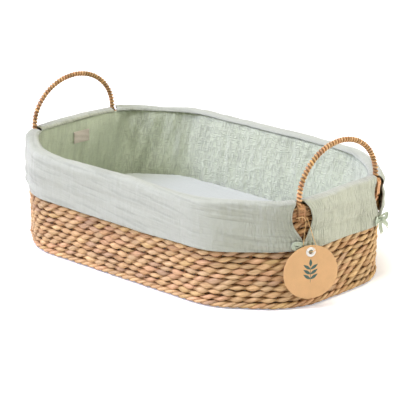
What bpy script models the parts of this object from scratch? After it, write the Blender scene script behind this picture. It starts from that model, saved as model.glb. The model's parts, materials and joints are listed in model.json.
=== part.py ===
"""Woven baby changing basket: a rounded octagonal basket on a wire frame, with a fabric liner
folded over its rim, a mattress, two arched handles and a card tag on a cord.

Metres, +Z up, +X along the length. The origin is the centre of the footprint, on the ground.
"""

import math
from collections import namedtuple

import bmesh
import bpy
from mathutils import Matrix, Vector
from mathutils.geometry import interpolate_bezier

OBJECT_NAME = "changing_basket"

# The weave's outer face is a rounded octagon, nearly upright, with rounder corners at the foot.
# end_flat is the y of its sharp corners on the ends, side_flat the x of those on the long sides.
Plan = namedtuple("Plan", "half_length half_width end_flat side_flat radius")
FOOT_PLAN = Plan(0.3875, 0.234, 0.130, 0.249, 0.150)
RIM_PLAN = Plan(0.3850, 0.243, 0.138, 0.241, 0.100)
PLAN_RISE = 0.220
ARC_STEPS = 5
SIDES = 8
LEVELS = (0.07, 0.13)
GAP = 0.0003

# Woven basket
FLOOR_TOP = 0.0105
FLOOR_INSET = 0.0100
FOOT_BRAID_RADIUS = 0.0068
FOOT_BRAID_Z = 0.0077
FOOT_BRAID_INSET = 0.0028
WALL_LOW = 0.0148
WALL_TOP = 0.2050
WALL_THICKNESS = 0.0090
BORDER_LOW = 0.1950
BORDER_TOP = 0.2100
BORDER_SKIN = 0.0017
BORDER_OUTER = -0.0020
BORDER_INNER = 0.0176

# Wire frame inside the weave
RING_WIRE_RADIUS = 0.0030
STAKE_WIRE_RADIUS = 0.0020
WIRE_INSET = 0.0126
TOP_WIRE_Z = 0.2018
FOOT_WIRE_Z = 0.0140
CROSS_WIRES_X = (-0.18, -0.06, 0.06, 0.18)
LONG_WIRES_Y = (-0.05, 0.05)

# Handles: each leg is pushed down inside the wall, at this share of the corner's arc
LEG_SHARE = 0.34
LEG_STATIONS = {
    "near_right": 15 + 1 - LEG_SHARE,
    "near_left": 1 + LEG_SHARE,
    "far_left": 7 + 1 - LEG_SHARE,
    "far_right": 9 + LEG_SHARE,
}
LEG_INSET = 0.0045
LEG_FOOT = 0.1650
ARCH_SPRING = 0.2220
ARCH_TOP = 0.3155
ARCH_STEPS = 20
CORE_RADIUS = 0.0030
SOCKET_RADIUS = 0.0034
WRAP_RADIUS = 0.0055
WRAP_THICKNESS = 0.0019
WRAP_LOW = 0.2131
LASHING_HALF_WIDTH = 0.0080
LASHING_TOP = 0.2128
LASHING_OUTER = -0.0048
LASHING_INNER = 0.0196
LASHING_LOW = 0.1810
LASHING_INNER_LOW = 0.1900

# Liner
CLOTH = 0.0016
LINER_FLOOR_Z = 0.0170
PADDING = (0.0150, 0.0198)
PADDING_TOP = 0.1880
LINER_LOW = 0.0190
LINER_TOP = 0.2065
LINER_INSET = (0.0202, 0.0218)
# Underside of the folded skirt from its inner hem, over the rim, to its outer hem:
# inset from the weave's face, height, and half of the slit's width at the handle legs
SKIRT_ROWS = (
    (0.0226, 0.2050, 0.0015),
    (0.0226, 0.2130, 0.0030),
    (0.0185, 0.2165, 0.0050),
    (0.0090, 0.2178, 0.0075),
    (0.0005, 0.2170, 0.0090),
    (-0.0034, 0.2125, 0.0130),
    (-0.0034, 0.2000, 0.0190),
    (-0.0032, 0.1850, 0.0210),
    (-0.0030, 0.1700, 0.0175),
    (-0.0028, 0.1550, 0.0095),
    (-0.0028, 0.1430, 0.0025),
    (-0.0028, 0.1340, 0.0012),
    (-0.0028, 0.1220, 0.0020),
)
SLIT_REACH = 1.0

# Tie bows, seen from outside, about the knot
BOW_Z = 0.1310
BOW_OUT = 0.0052
BOW_THICKNESS = 0.0012
BOW_LOOP = 0.022
BOW_LOOP_WIDTH = 0.012
BOW_TAIL = 0.030
BOW_RIBBON = 0.008

# Sewn label on the far end
LABEL_SIZE = (0.0008, 0.044, 0.026)
LABEL_Y = 0.007
LABEL_Z = 0.177

# Mattress: it stands straight and passes through the mouth of the liner. Rows are inset from
# its plan and height, from the hem underneath to the crown.
MATTRESS_PLAN = Plan(0.3585, 0.2085, 0.120, 0.236, 0.110)
SHEET_ROWS = (
    (0.0450, 0.0190),
    (0.0050, 0.0190),
    (0.0000, 0.0250),
    (0.0000, 0.0640),
    (0.0025, 0.0705),
    (0.0090, 0.0740),
    (0.0400, 0.0750),
)
SHEET_THICKNESS = 0.0012
FOAM_ROWS = (
    (0.0070, 0.0208),
    (0.0020, 0.0265),
    (0.0020, 0.0640),
    (0.0040, 0.0690),
    (0.0100, 0.0720),
    (0.0410, 0.0730),
)

# Hang tag, flat against the near right corner
TAG_STATION = 15.40
TAG_OUT = 0.0110
TAG_ALONG = 0.0425
TAG_EYELET_Z = 0.1200
TAG_RADIUS = 0.0550
TAG_THICKNESS = 0.0012
TAG_EYELET_DROP = 0.0415
TAG_HOLE_RADIUS = 0.0061
EYELET_BORE = 0.0046
EYELET_BARREL = 0.0058
EYELET_FLANGE = 0.0098
EYELET_HALF_HEIGHT = 0.0016
EYELET_SEAT = 0.0009

# The tag's cord in the tag's own frame, whose origin is the eyelet's centre: along, up and out.
# It starts behind the lashing, comes round it and down over the eyelet's flange, goes through
# the bore and up again behind the card, and crosses the lashing to end behind it.
CORD_DIAMETER = 0.0016
CORD_SPACING = 0.0040
CORD_ROUTE = (
    (-0.0166, 0.0680, -0.0109),
    (-0.0129, 0.0680, -0.0119),
    (-0.0092, 0.0678, -0.0130),
    (-0.0059, 0.0666, -0.0122),
    (-0.0044, 0.0634, -0.0098),
    (-0.0037, 0.0585, -0.0076),
    (-0.0012, 0.0500, -0.0052),
    (0.0016, 0.0400, -0.0028),
    (0.0044, 0.0300, -0.0006),
    (0.0074, 0.0200, 0.0016),
    (0.0096, 0.0130, 0.0029),
    (0.0099, 0.0080, 0.0035),
    (0.0080, 0.0040, 0.0037),
    (0.0050, 0.0016, 0.0031),
    (0.0026, 0.0005, 0.0018),
    (0.0000, 0.0000, 0.0000),
    (-0.0026, 0.0005, -0.0018),
    (-0.0050, 0.0015, -0.0031),
    (-0.0082, 0.0038, -0.0038),
    (-0.0112, 0.0078, -0.0042),
    (-0.0131, 0.0130, -0.0046),
    (-0.0133, 0.0190, -0.0050),
    (-0.0123, 0.0280, -0.0055),
    (-0.0109, 0.0400, -0.0061),
    (-0.0096, 0.0510, -0.0066),
    (-0.0088, 0.0605, -0.0069),
    (-0.0106, 0.0654, -0.0066),
    (-0.0134, 0.0685, -0.0061),
    (-0.0161, 0.0698, -0.0056),
    (-0.0185, 0.0702, -0.0049),
    (-0.0208, 0.0702, -0.0040),
    (-0.0237, 0.0699, -0.0029),
    (-0.0266, 0.0694, -0.0033),
    (-0.0281, 0.0689, -0.0050),
    (-0.0277, 0.0684, -0.0073),
    (-0.0257, 0.0681, -0.0089),
    (-0.0216, 0.0680, -0.0098),
    (-0.0178, 0.0680, -0.0106),
)
# The free strands end at these points of the route, and swing about this point
STRAND_TOPS = (5, 25)
CORD_PIVOT = (0.0000, 0.0680, -0.0063)

# Finishes: colour, roughness, metallic
FINISHES = {
    "weave": ((0.55, 0.36, 0.20), 0.75, 0.0),
    "braid": ((0.50, 0.32, 0.17), 0.75, 0.0),
    "handle_strand": ((0.60, 0.34, 0.15), 0.65, 0.0),
    "rattan_core": ((0.45, 0.28, 0.14), 0.70, 0.0),
    "wire": ((0.45, 0.45, 0.46), 0.35, 1.0),
    "muslin": ((0.62, 0.68, 0.58), 0.90, 0.0),
    "padding": ((0.85, 0.85, 0.83), 0.95, 0.0),
    "sheet": ((0.72, 0.82, 0.74), 0.90, 0.0),
    "foam": ((0.88, 0.86, 0.78), 0.95, 0.0),
    "label": ((0.60, 0.54, 0.45), 0.85, 0.0),
    "card": ((0.78, 0.48, 0.24), 0.70, 0.0),
    "eyelet": ((0.90, 0.89, 0.87), 0.35, 0.0),
    "cord": ((0.62, 0.45, 0.24), 0.85, 0.0),
}


# ---- plan of the basket -------------------------------------------------------------------

def plan_at(z):
    share = z / PLAN_RISE
    return Plan(*(low + (high - low) * share for low, high in zip(FOOT_PLAN, RIM_PLAN)))


def side_lines(plan):
    """The outward angle of each of the eight sides and its distance from the centre."""
    slant = math.atan2(plan.half_length - plan.side_flat, plan.half_width - plan.end_flat)
    reach = plan.half_length * math.cos(slant) + plan.end_flat * math.sin(slant)
    half = [
        (0.0, plan.half_length),
        (slant, reach),
        (math.pi / 2, plan.half_width),
        (math.pi - slant, reach),
    ]
    return half + [(angle + math.pi, distance) for angle, distance in half]


def on_arc(plan, corner, share, inset):
    """A point on the arc between a side and the next, and its outward angle."""
    lines = side_lines(plan)
    start, first = lines[corner % SIDES]
    end, second = lines[(corner + 1) % SIDES]
    if end < start:
        end += 2 * math.pi
    first -= plan.radius
    second -= plan.radius
    cross = math.sin(end - start)
    centre = Vector((
        (first * math.sin(end) - second * math.sin(start)) / cross,
        (second * math.cos(start) - first * math.cos(end)) / cross,
    ))
    angle = start + (end - start) * share
    return centre + (plan.radius - inset) * Vector((math.cos(angle), math.sin(angle))), angle


def spot(station, z, inset=0.0, plan=None):
    """A point of the outline. Station 2k to 2k + 1 is side k, and 2k + 1 to 2k + 2 the arc
    after it, counted anticlockwise from the +X end. inset is measured inwards."""
    plan = plan or plan_at(z)
    piece = int(station % (2 * SIDES))
    share = station % (2 * SIDES) - piece
    side = piece // 2
    if piece % 2:
        point, _ = on_arc(plan, side, share, inset)
    else:
        before, _ = on_arc(plan, side - 1, 1.0, inset)
        after, _ = on_arc(plan, side, 0.0, inset)
        point = before.lerp(after, share)
    return Vector((point.x, point.y, z))


def outward(station, z):
    """Outward unit normal on an arc."""
    _, angle = on_arc(plan_at(z), int(station % (2 * SIDES)) // 2, station % 1, 0.0)
    return Vector((math.cos(angle), math.sin(angle), 0.0))


def arc_station(length, z):
    """How far a length along a large corner's arc goes, in stations."""
    plan = plan_at(z)
    turn = side_lines(plan)[1][0]
    return length / (plan.radius * turn)


def stations_between(start, end):
    """The outline's own corner points between two stations, with both ends."""
    inner = [
        turn * 2 * SIDES + s
        for turn in (-1, 0)
        for s in RING
        if start + 0.02 < turn * 2 * SIDES + s < end - 0.02
    ]
    return [start, *inner, end]


RING = [2 * side + 1 + step / ARC_STEPS for side in range(SIDES) for step in range(ARC_STEPS + 1)]


# ---- modelling helpers --------------------------------------------------------------------

def clear_scene():
    for obj in list(bpy.data.objects):
        bpy.data.objects.remove(obj)


def new_collection(name):
    collection = bpy.data.collections.new(name)
    bpy.context.scene.collection.children.link(collection)
    return collection


def finish_material(name):
    material = bpy.data.materials.get(name)
    if material:
        return material
    colour, roughness, metallic = FINISHES[name]
    material = bpy.data.materials.new(name)
    material.use_nodes = True
    shader = material.node_tree.nodes["Principled BSDF"]
    shader.inputs["Base Color"].default_value = (*colour, 1.0)
    shader.inputs["Roughness"].default_value = roughness
    shader.inputs["Metallic"].default_value = metallic
    return material


def add_object(name, data, finish, collection):
    obj = bpy.data.objects.new(name, data)
    collection.objects.link(obj)
    if finish:
        obj.data.materials.append(finish_material(finish))
    return obj


def add_cutter(name, data):
    obj = add_object(name, data, None, CUTTERS)
    obj.hide_render = True
    obj.display_type = "WIRE"
    return obj


def mesh_from_bmesh(name, bm, closed=True):
    if closed:
        bmesh.ops.recalc_face_normals(bm, faces=bm.faces)
    mesh = bpy.data.meshes.new(name)
    bm.to_mesh(mesh)
    bm.free()
    return mesh


def shade_round(mesh, degrees=40):
    mesh.shade_smooth()
    mesh.set_sharp_from_angle(angle=math.radians(degrees))


def grid(bm, columns, closed_columns, closed_rows):
    """Quads over columns of points. Returns the bmesh vertices, column by column."""
    verts = [[bm.verts.new(point) for point in column] for column in columns]
    wide = len(verts)
    tall = len(verts[0])
    for i in range(wide if closed_columns else wide - 1):
        left = verts[i]
        right = verts[(i + 1) % wide]
        for j in range(tall if closed_rows else tall - 1):
            up = (j + 1) % tall
            bm.faces.new((left[j], right[j], right[up], left[up]))
    return verts


def with_levels(section):
    """The closed section with extra points at the shared levels, so that neighbouring bands
    follow the same curved flare."""
    points = []
    for (inset, z), (next_inset, next_z) in zip(section, section[1:] + section[:1]):
        points.append((inset, z))
        low, high = sorted((z, next_z))
        between = [level for level in LEVELS if low + 0.01 < level < high - 0.01]
        for level in between if next_z > z else reversed(between):
            share = (level - z) / (next_z - z)
            points.append((inset + (next_inset - inset) * share, level))
    return points


def swept_band(name, section, finish, stations=None):
    """A closed section of (inset, height) points swept round the outline, or along a stretch
    of it with flat ends."""
    whole = stations is None
    section = with_levels(section)
    bm = bmesh.new()
    columns = [[spot(s, z, inset) for inset, z in section] for s in stations or RING]
    verts = grid(bm, columns, whole, True)
    if not whole:
        bm.faces.new(verts[0])
        bm.faces.new(verts[-1])
    mesh = mesh_from_bmesh(name, bm)
    shade_round(mesh)
    return add_object(name, mesh, finish, PARTS)


def plate(name, inset, low, high, finish):
    """A flat plate of the outline's shape."""
    curve = bpy.data.curves.new(name, "CURVE")
    curve.dimensions = "2D"
    curve.fill_mode = "BOTH"
    curve.extrude = (high - low) / 2
    points = [spot(s, 0.0, inset, plan_at(low)) for s in RING]
    fill_spline(curve, points, cyclic=True)
    obj = add_object(name, curve, finish, PARTS)
    obj.location.z = (low + high) / 2
    return obj


def fill_spline(curve, points, cyclic):
    spline = curve.splines.new("POLY")
    spline.points.add(len(points) - 1)
    for target, point in zip(spline.points, points):
        target.co = (*point, 1.0)
    spline.use_cyclic_u = cyclic


def tube_curve(name, points, radius, cyclic=False, caps=True, resolution=2):
    curve = bpy.data.curves.new(name, "CURVE")
    curve.dimensions = "3D"
    curve.bevel_depth = radius
    curve.bevel_resolution = resolution
    curve.use_fill_caps = caps and not cyclic
    fill_spline(curve, points, cyclic)
    return curve


def tube_cutter(name, points, radius, cyclic=False, resolution=1):
    """The tube as a closed mesh, for a Boolean."""
    curve = tube_curve(name, points, radius, cyclic, resolution=resolution)
    guide = add_cutter(name + "_guide", curve)
    graph = bpy.context.evaluated_depsgraph_get()
    mesh = bpy.data.meshes.new_from_object(guide.evaluated_get(graph))
    bpy.data.objects.remove(guide)
    bm = bmesh.new()
    bm.from_mesh(mesh)
    bmesh.ops.remove_doubles(bm, verts=bm.verts, dist=1e-6)
    bmesh.ops.recalc_face_normals(bm, faces=bm.faces)
    bm.to_mesh(mesh)
    bm.free()
    return add_cutter(name, mesh)


def boolean(obj, operation, cutter):
    modifier = obj.modifiers.new(operation.lower(), "BOOLEAN")
    modifier.operation = operation
    modifier.solver = "EXACT"
    modifier.object = cutter
    return modifier


# ---- basket -------------------------------------------------------------------------------

def woven_floor():
    plate("woven_floor", FLOOR_INSET, 0.0, FLOOR_TOP, "weave")


def foot_braid():
    points = [spot(s, FOOT_BRAID_Z, FOOT_BRAID_INSET) for s in RING]
    curve = tube_curve("foot_braid", points, FOOT_BRAID_RADIUS, cyclic=True)
    add_object("foot_braid", curve, "braid", PARTS)


def woven_wall(sockets):
    section = [
        (0.0, WALL_LOW),
        (0.0, WALL_TOP),
        (WALL_THICKNESS, WALL_TOP),
        (WALL_THICKNESS, WALL_LOW),
    ]
    wall = swept_band("woven_wall", section, "weave")
    for socket in sockets.values():
        boolean(wall, "DIFFERENCE", socket)


def rim_border(sockets):
    """A braided cap over the top of the wall and the top wire."""
    inside = (BORDER_OUTER + BORDER_SKIN, BORDER_INNER - BORDER_SKIN)
    bevel = 0.0015
    section = [
        (BORDER_OUTER, BORDER_LOW),
        (BORDER_OUTER, BORDER_TOP - bevel),
        (BORDER_OUTER + bevel, BORDER_TOP),
        (BORDER_INNER - bevel, BORDER_TOP),
        (BORDER_INNER, BORDER_TOP - bevel),
        (BORDER_INNER, BORDER_LOW),
        (inside[1], BORDER_LOW),
        (inside[1], WALL_TOP + GAP),
        (inside[0], WALL_TOP + GAP),
        (inside[0], BORDER_LOW),
    ]
    border = swept_band("rim_border", section, "braid")
    for socket in sockets.values():
        boolean(border, "DIFFERENCE", socket)


def frame_wires():
    """The centrelines of every wire but the top ring, each with its radius."""
    foot = [spot(s, FOOT_WIRE_Z, WIRE_INSET) for s in RING]
    yield "foot_ring", foot, RING_WIRE_RADIUS, True
    stakes = [side + share for side in range(2 * SIDES) for share in (0.5,)]
    stakes += [4.15, 4.85, 12.15, 12.85]
    for number, station in enumerate(stakes):
        ends = [spot(station, z, WIRE_INSET) for z in (FOOT_WIRE_Z, TOP_WIRE_Z)]
        yield f"stake_{number}", ends, STAKE_WIRE_RADIUS, False
    plan = plan_at(FOOT_WIRE_Z)
    reach_x = plan.half_length - WIRE_INSET
    reach_y = plan.half_width - WIRE_INSET
    for number, x in enumerate(CROSS_WIRES_X):
        ends = [Vector((x, y, FOOT_WIRE_Z)) for y in (-reach_y, reach_y)]
        yield f"cross_wire_{number}", ends, STAKE_WIRE_RADIUS, False
    for number, y in enumerate(LONG_WIRES_Y):
        ends = [Vector((x, y, FOOT_WIRE_Z)) for x in (-reach_x, reach_x)]
        yield f"long_wire_{number}", ends, STAKE_WIRE_RADIUS, False


def wire_frame():
    """Two rings, stakes and floor wires, welded into one."""
    top = [spot(s, TOP_WIRE_Z, WIRE_INSET) for s in RING]
    cutter = tube_cutter("top_ring", top, RING_WIRE_RADIUS, cyclic=True)
    frame = add_object("wire_frame", cutter.data, "wire", PARTS)
    bpy.data.objects.remove(cutter)
    wires = new_collection("frame_wires")
    for name, points, radius, cyclic in frame_wires():
        wire = tube_cutter(name, points, radius, cyclic)
        CUTTERS.objects.unlink(wire)
        wires.objects.link(wire)
    modifier = boolean(frame, "UNION", None)
    modifier.operand_type = "COLLECTION"
    modifier.collection = wires


# ---- handles ------------------------------------------------------------------------------

def leg_sockets():
    """Cutters for the holes that the handle legs stand in."""
    sockets = {}
    for name, station in LEG_STATIONS.items():
        ends = [spot(station, z, LEG_INSET) for z in (LEG_FOOT - 2 * GAP, WRAP_LOW + 0.002)]
        sockets[name] = tube_cutter(name + "_socket", ends, SOCKET_RADIUS, resolution=2)
    return sockets


def arch(first, second):
    """The handle's centreline above the rim, from one leg over to the other."""
    start = spot(first, WRAP_LOW, LEG_INSET)
    end = spot(second, WRAP_LOW, LEG_INSET)
    middle = (start + end) / 2
    points = [start]
    for step in range(ARCH_STEPS + 1):
        angle = math.pi * step / ARCH_STEPS
        point = middle + (start - middle) * math.cos(angle)
        point.z = ARCH_SPRING + (ARCH_TOP - ARCH_SPRING) * math.sin(angle)
        points.append(point)
    return points + [end]


def handle(end, first, second):
    over = arch(LEG_STATIONS[first], LEG_STATIONS[second])
    feet = [spot(LEG_STATIONS[leg], LEG_FOOT, LEG_INSET) for leg in (first, second)]
    core = tube_curve(end + "_handle_core", [feet[0], *over, feet[1]], CORE_RADIUS)
    add_object(end + "_handle_core", core, "rattan_core", PARTS)
    curve = tube_curve(end + "_handle_wrap", over, WRAP_RADIUS, caps=False)
    wrap = add_object(end + "_handle_wrap", curve, "handle_strand", PARTS)
    shell = wrap.modifiers.new("shell", "SOLIDIFY")
    shell.thickness = WRAP_THICKNESS
    shell.offset = -1.0


def lashing(leg, station, socket):
    """The binding that holds a leg to the rim, passed over the border."""
    half = arc_station(LASHING_HALF_WIDTH, LASHING_TOP)
    outer = BORDER_OUTER - GAP
    inner = BORDER_INNER + 0.0008
    under = BORDER_TOP + GAP
    bevel = 0.0008
    section = [
        (outer, LASHING_LOW),
        (LASHING_OUTER, LASHING_LOW),
        (LASHING_OUTER, LASHING_TOP - bevel),
        (LASHING_OUTER + bevel, LASHING_TOP),
        (LASHING_INNER - bevel, LASHING_TOP),
        (LASHING_INNER, LASHING_TOP - bevel),
        (LASHING_INNER, LASHING_INNER_LOW),
        (inner, LASHING_INNER_LOW),
        (inner, under),
        (outer, under),
    ]
    stretch = [station - half, station, station + half]
    binding = swept_band(leg + "_leg_lashing", section, "handle_strand", stretch)
    boolean(binding, "DIFFERENCE", socket)


# ---- liner --------------------------------------------------------------------------------

def liner_inside():
    plate("liner_floor", PADDING[0], LINER_FLOOR_Z, LINER_FLOOR_Z + CLOTH, "muslin")
    padding = [(PADDING[i], z) for i, z in
               ((0, LINER_LOW), (0, PADDING_TOP), (1, PADDING_TOP), (1, LINER_LOW))]
    swept_band("liner_padding", padding, "padding")
    wall = [(LINER_INSET[i], z) for i, z in
            ((0, LINER_LOW), (0, LINER_TOP), (1, LINER_TOP), (1, LINER_LOW))]
    swept_band("liner_inner_wall", wall, "muslin")


def skirt_panel(name, start, end):
    """Cloth folded over the rim between two slits. Each slit is widest below the rim."""
    nominal = stations_between(start, end)
    columns = [[] for _ in nominal]
    for inset, z, half_slit in reversed(SKIRT_ROWS):
        shift = arc_station(half_slit, z)
        for column, station in zip(columns, nominal):
            from_start = max(0.0, 1 - (station - start) / SLIT_REACH)
            from_end = max(0.0, 1 - (end - station) / SLIT_REACH)
            moved = station + shift * from_start - shift * from_end
            column.append(spot(moved, z, inset))
    bm = bmesh.new()
    grid(bm, columns, False, False)
    mesh = mesh_from_bmesh(name, bm, closed=False)
    shade_round(mesh, 60)
    panel = add_object(name, mesh, "muslin", PARTS)
    shell = panel.modifiers.new("cloth", "SOLIDIFY")
    shell.thickness = CLOTH
    shell.offset = 1.0
    shell.use_even_offset = True


def bow_outline(mirror):
    """Two loops and two tails about the knot, as one outline."""
    half = BOW_LOOP_WIDTH / 2
    waist = 0.002
    knot = 0.004
    tail_end = knot + BOW_TAIL * 0.75
    right = [
        (waist + knot, waist),
        (BOW_LOOP * 0.55, half),
        (BOW_LOOP * 0.90, half * 0.75),
        (BOW_LOOP, 0.0),
        (BOW_LOOP * 0.85, -half * 0.55),
        (BOW_LOOP * 0.45, -half * 0.45),
        (knot + waist, -waist),
        (knot + BOW_TAIL * 0.55, -tail_end + BOW_RIBBON / 2),
        (knot + BOW_TAIL * 0.40, -tail_end - BOW_RIBBON / 4),
        (waist, -knot),
        (0.0, -knot - waist),
    ]
    left = [
        (-BOW_RIBBON * 0.2, -tail_end),
        (-BOW_RIBBON, -tail_end + BOW_RIBBON / 4),
        (-knot - waist, -waist),
        (-BOW_LOOP * 0.55, -half),
        (-BOW_LOOP * 0.90, -half * 0.75),
        (-BOW_LOOP, 0.0),
        (-BOW_LOOP * 0.85, half * 0.75),
        (-BOW_LOOP * 0.50, half),
        (-waist - knot, waist),
    ]
    return [Vector((mirror * x, y, 0.0)) for x, y in right + left]


def tie_bow(leg, station, mirror):
    """A flat bow, standing against the skirt at the foot of the slit."""
    name = leg + "_tie_bow"
    curve = bpy.data.curves.new(name, "CURVE")
    curve.dimensions = "2D"
    curve.fill_mode = "BOTH"
    curve.extrude = BOW_THICKNESS / 2
    fill_spline(curve, bow_outline(mirror), cyclic=True)
    bow = add_object(name, curve, "muslin", PARTS)
    bow.matrix_world = facing(station, BOW_Z, BOW_OUT + BOW_THICKNESS / 2)


def facing(station, z, out, along=0.0):
    """A frame standing on the outline: X along it, Y up and Z outwards."""
    normal = outward(station, z)
    up = Vector((0.0, 0.0, 1.0))
    across = up.cross(normal)
    place = spot(station, z, -out) + across * along
    turn = Matrix((across, up, normal)).transposed().to_4x4()
    return Matrix.Translation(place) @ turn


def sewn_label():
    thickness = LABEL_SIZE[0]
    bm = bmesh.new()
    bmesh.ops.create_cube(bm, size=1.0)
    bmesh.ops.scale(bm, vec=LABEL_SIZE, verts=bm.verts)
    label = add_object("sewn_label", mesh_from_bmesh("sewn_label", bm), "label", PARTS)
    slope = (RIM_PLAN.half_length - FOOT_PLAN.half_length) / PLAN_RISE
    inset = LINER_INSET[1] + thickness / 2 + GAP
    half_length = plan_at(LABEL_Z).half_length - inset
    label.rotation_euler.y = -math.atan(slope)
    label.location = (-half_length, LABEL_Y, LABEL_Z)


# ---- mattress -----------------------------------------------------------------------------

def mattress_columns(rows):
    return [[spot(s, z, inset, MATTRESS_PLAN) for inset, z in rows] for s in RING]


def mattress():
    bm = bmesh.new()
    verts = grid(bm, mattress_columns(FOAM_ROWS), True, False)
    bm.faces.new([column[0] for column in verts])
    bm.faces.new([column[-1] for column in verts])
    mesh = mesh_from_bmesh("mattress_foam", bm)
    shade_round(mesh, 50)
    add_object("mattress_foam", mesh, "foam", PARTS)

    bm = bmesh.new()
    verts = grid(bm, mattress_columns(SHEET_ROWS), True, False)
    bm.faces.new([column[-1] for column in verts])
    mesh = mesh_from_bmesh("mattress_sheet", bm, closed=False)
    shade_round(mesh, 50)
    sheet = add_object("mattress_sheet", mesh, "sheet", PARTS)
    shell = sheet.modifiers.new("cloth", "SOLIDIFY")
    shell.thickness = SHEET_THICKNESS
    shell.offset = -1.0
    shell.use_even_offset = True


# ---- hang tag -----------------------------------------------------------------------------

def tag_card(face):
    bm = bmesh.new()
    bmesh.ops.create_cone(
        bm, cap_ends=True, segments=48, radius1=TAG_RADIUS, radius2=TAG_RADIUS,
        depth=TAG_THICKNESS, matrix=Matrix.Translation((0, -TAG_EYELET_DROP, 0)))
    mesh = mesh_from_bmesh("tag_card", bm)
    shade_round(mesh)
    card = add_object("tag_card", mesh, "card", PARTS)
    card.matrix_world = face
    bm = bmesh.new()
    bmesh.ops.create_cone(
        bm, cap_ends=True, segments=24, radius1=TAG_HOLE_RADIUS, radius2=TAG_HOLE_RADIUS,
        depth=0.01)
    hole = add_cutter("tag_hole", mesh_from_bmesh("tag_hole", bm))
    hole.matrix_world = face
    boolean(card, "DIFFERENCE", hole)


def tag_eyelet(face):
    """A turned ring with a flange on each side of the card."""
    lip = 0.0002
    upper = [
        (EYELET_BORE, EYELET_HALF_HEIGHT - 2 * lip),
        (EYELET_BORE + 3 * lip, EYELET_HALF_HEIGHT),
        (EYELET_FLANGE - lip, EYELET_HALF_HEIGHT - lip),
        (EYELET_FLANGE, EYELET_SEAT),
        (EYELET_BARREL, EYELET_SEAT),
    ]
    profile = upper + [(r, -z) for r, z in reversed(upper)]
    mesh = bpy.data.meshes.new("tag_eyelet")
    edges = [(i, (i + 1) % len(profile)) for i in range(len(profile))]
    mesh.from_pydata([(r, 0.0, z) for r, z in profile], edges, [])
    eyelet = add_object("tag_eyelet", mesh, "eyelet", PARTS)
    turn = eyelet.modifiers.new("turn", "SCREW")
    turn.steps = 16
    turn.render_steps = 16
    turn.use_merge_vertices = True
    turn.merge_threshold = 0.00001
    turn.use_smooth_shade = True
    eyelet.matrix_world = face


def smooth_route(points):
    """Points a spacing apart, or less, on a smooth curve through the given ones."""
    padded = [2 * points[0] - points[1], *points, 2 * points[-1] - points[-2]]
    lengths = [(b - a).length for a, b in zip(padded, padded[1:])]
    slopes = [
        ((b - a) / before * after + (c - b) / after * before) / (before + after)
        for a, b, c, before, after in zip(padded, padded[1:], padded[2:], lengths, lengths[1:])
    ]
    route = [points[0]]
    for i, (start, end) in enumerate(zip(points, points[1:])):
        third = lengths[i + 1] / 3
        count = math.ceil(lengths[i + 1] / CORD_SPACING)
        route += interpolate_bezier(
            start, start + slopes[i] * third, end - slopes[i + 1] * third, end, count + 1)[1:]
    return route


def trimmed(points, length):
    """The route without a length at each end."""
    first = points[0] + (points[1] - points[0]).normalized() * length
    last = points[-1] + (points[-2] - points[-1]).normalized() * length
    return [first, *points[1:-1], last]


def tag_cord(face):
    """The loop round the lashing, and the two free strands with the bend through the eyelet."""
    points = [Vector(point) for point in CORD_ROUTE]
    first, last = STRAND_TOPS
    loop = smooth_route(points[last:] + points[:first + 1])
    curve = tube_curve("tag_cord_loop", loop, CORD_DIAMETER / 2)
    add_object("tag_cord_loop", curve, "cord", PARTS).matrix_world = face

    pivot = Vector(CORD_PIVOT)
    strands = [point - pivot for point in trimmed(smooth_route(points[first:last + 1]), GAP)]
    curve = tube_curve("tag_cord", strands, CORD_DIAMETER / 2)
    add_object("tag_cord", curve, "cord", PARTS).matrix_world = face @ Matrix.Translation(pivot)


# ---- the object ---------------------------------------------------------------------------

clear_scene()
PARTS = new_collection(OBJECT_NAME)
CUTTERS = new_collection("cutters")


def main():
    sockets = leg_sockets()
    woven_floor()
    foot_braid()
    woven_wall(sockets)
    rim_border(sockets)
    wire_frame()
    handle("near", "near_right", "near_left")
    handle("far", "far_right", "far_left")
    for leg, station in LEG_STATIONS.items():
        lashing(leg, station, sockets[leg])
        mirror = 1 if leg in ("near_left", "far_right") else -1
        tie_bow(leg, station, mirror)
    liner_inside()
    legs = LEG_STATIONS
    skirt_panel("skirt_near_end", legs["near_right"] - 2 * SIDES, legs["near_left"])
    skirt_panel("skirt_left_side", legs["near_left"], legs["far_left"])
    skirt_panel("skirt_far_end", legs["far_left"], legs["far_right"])
    skirt_panel("skirt_right_side", legs["far_right"], legs["near_right"])
    sewn_label()
    mattress()
    tag = facing(TAG_STATION, TAG_EYELET_Z, TAG_OUT, TAG_ALONG)
    tag_card(tag)
    tag_eyelet(tag)
    tag_cord(tag)


main()
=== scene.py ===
"""Looks of the woven baby changing basket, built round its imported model.

Metres, +Z up, +X towards the end with the hang tag. Strands and cloth are modelled as real
meshes along the basket's rounded outline, and each material has its own small node tree.
"""

import json
import math
from collections import namedtuple

import bmesh
import bpy
import numpy as np
from mathutils import Matrix, Vector
from mathutils.geometry import interpolate_bezier


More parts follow.
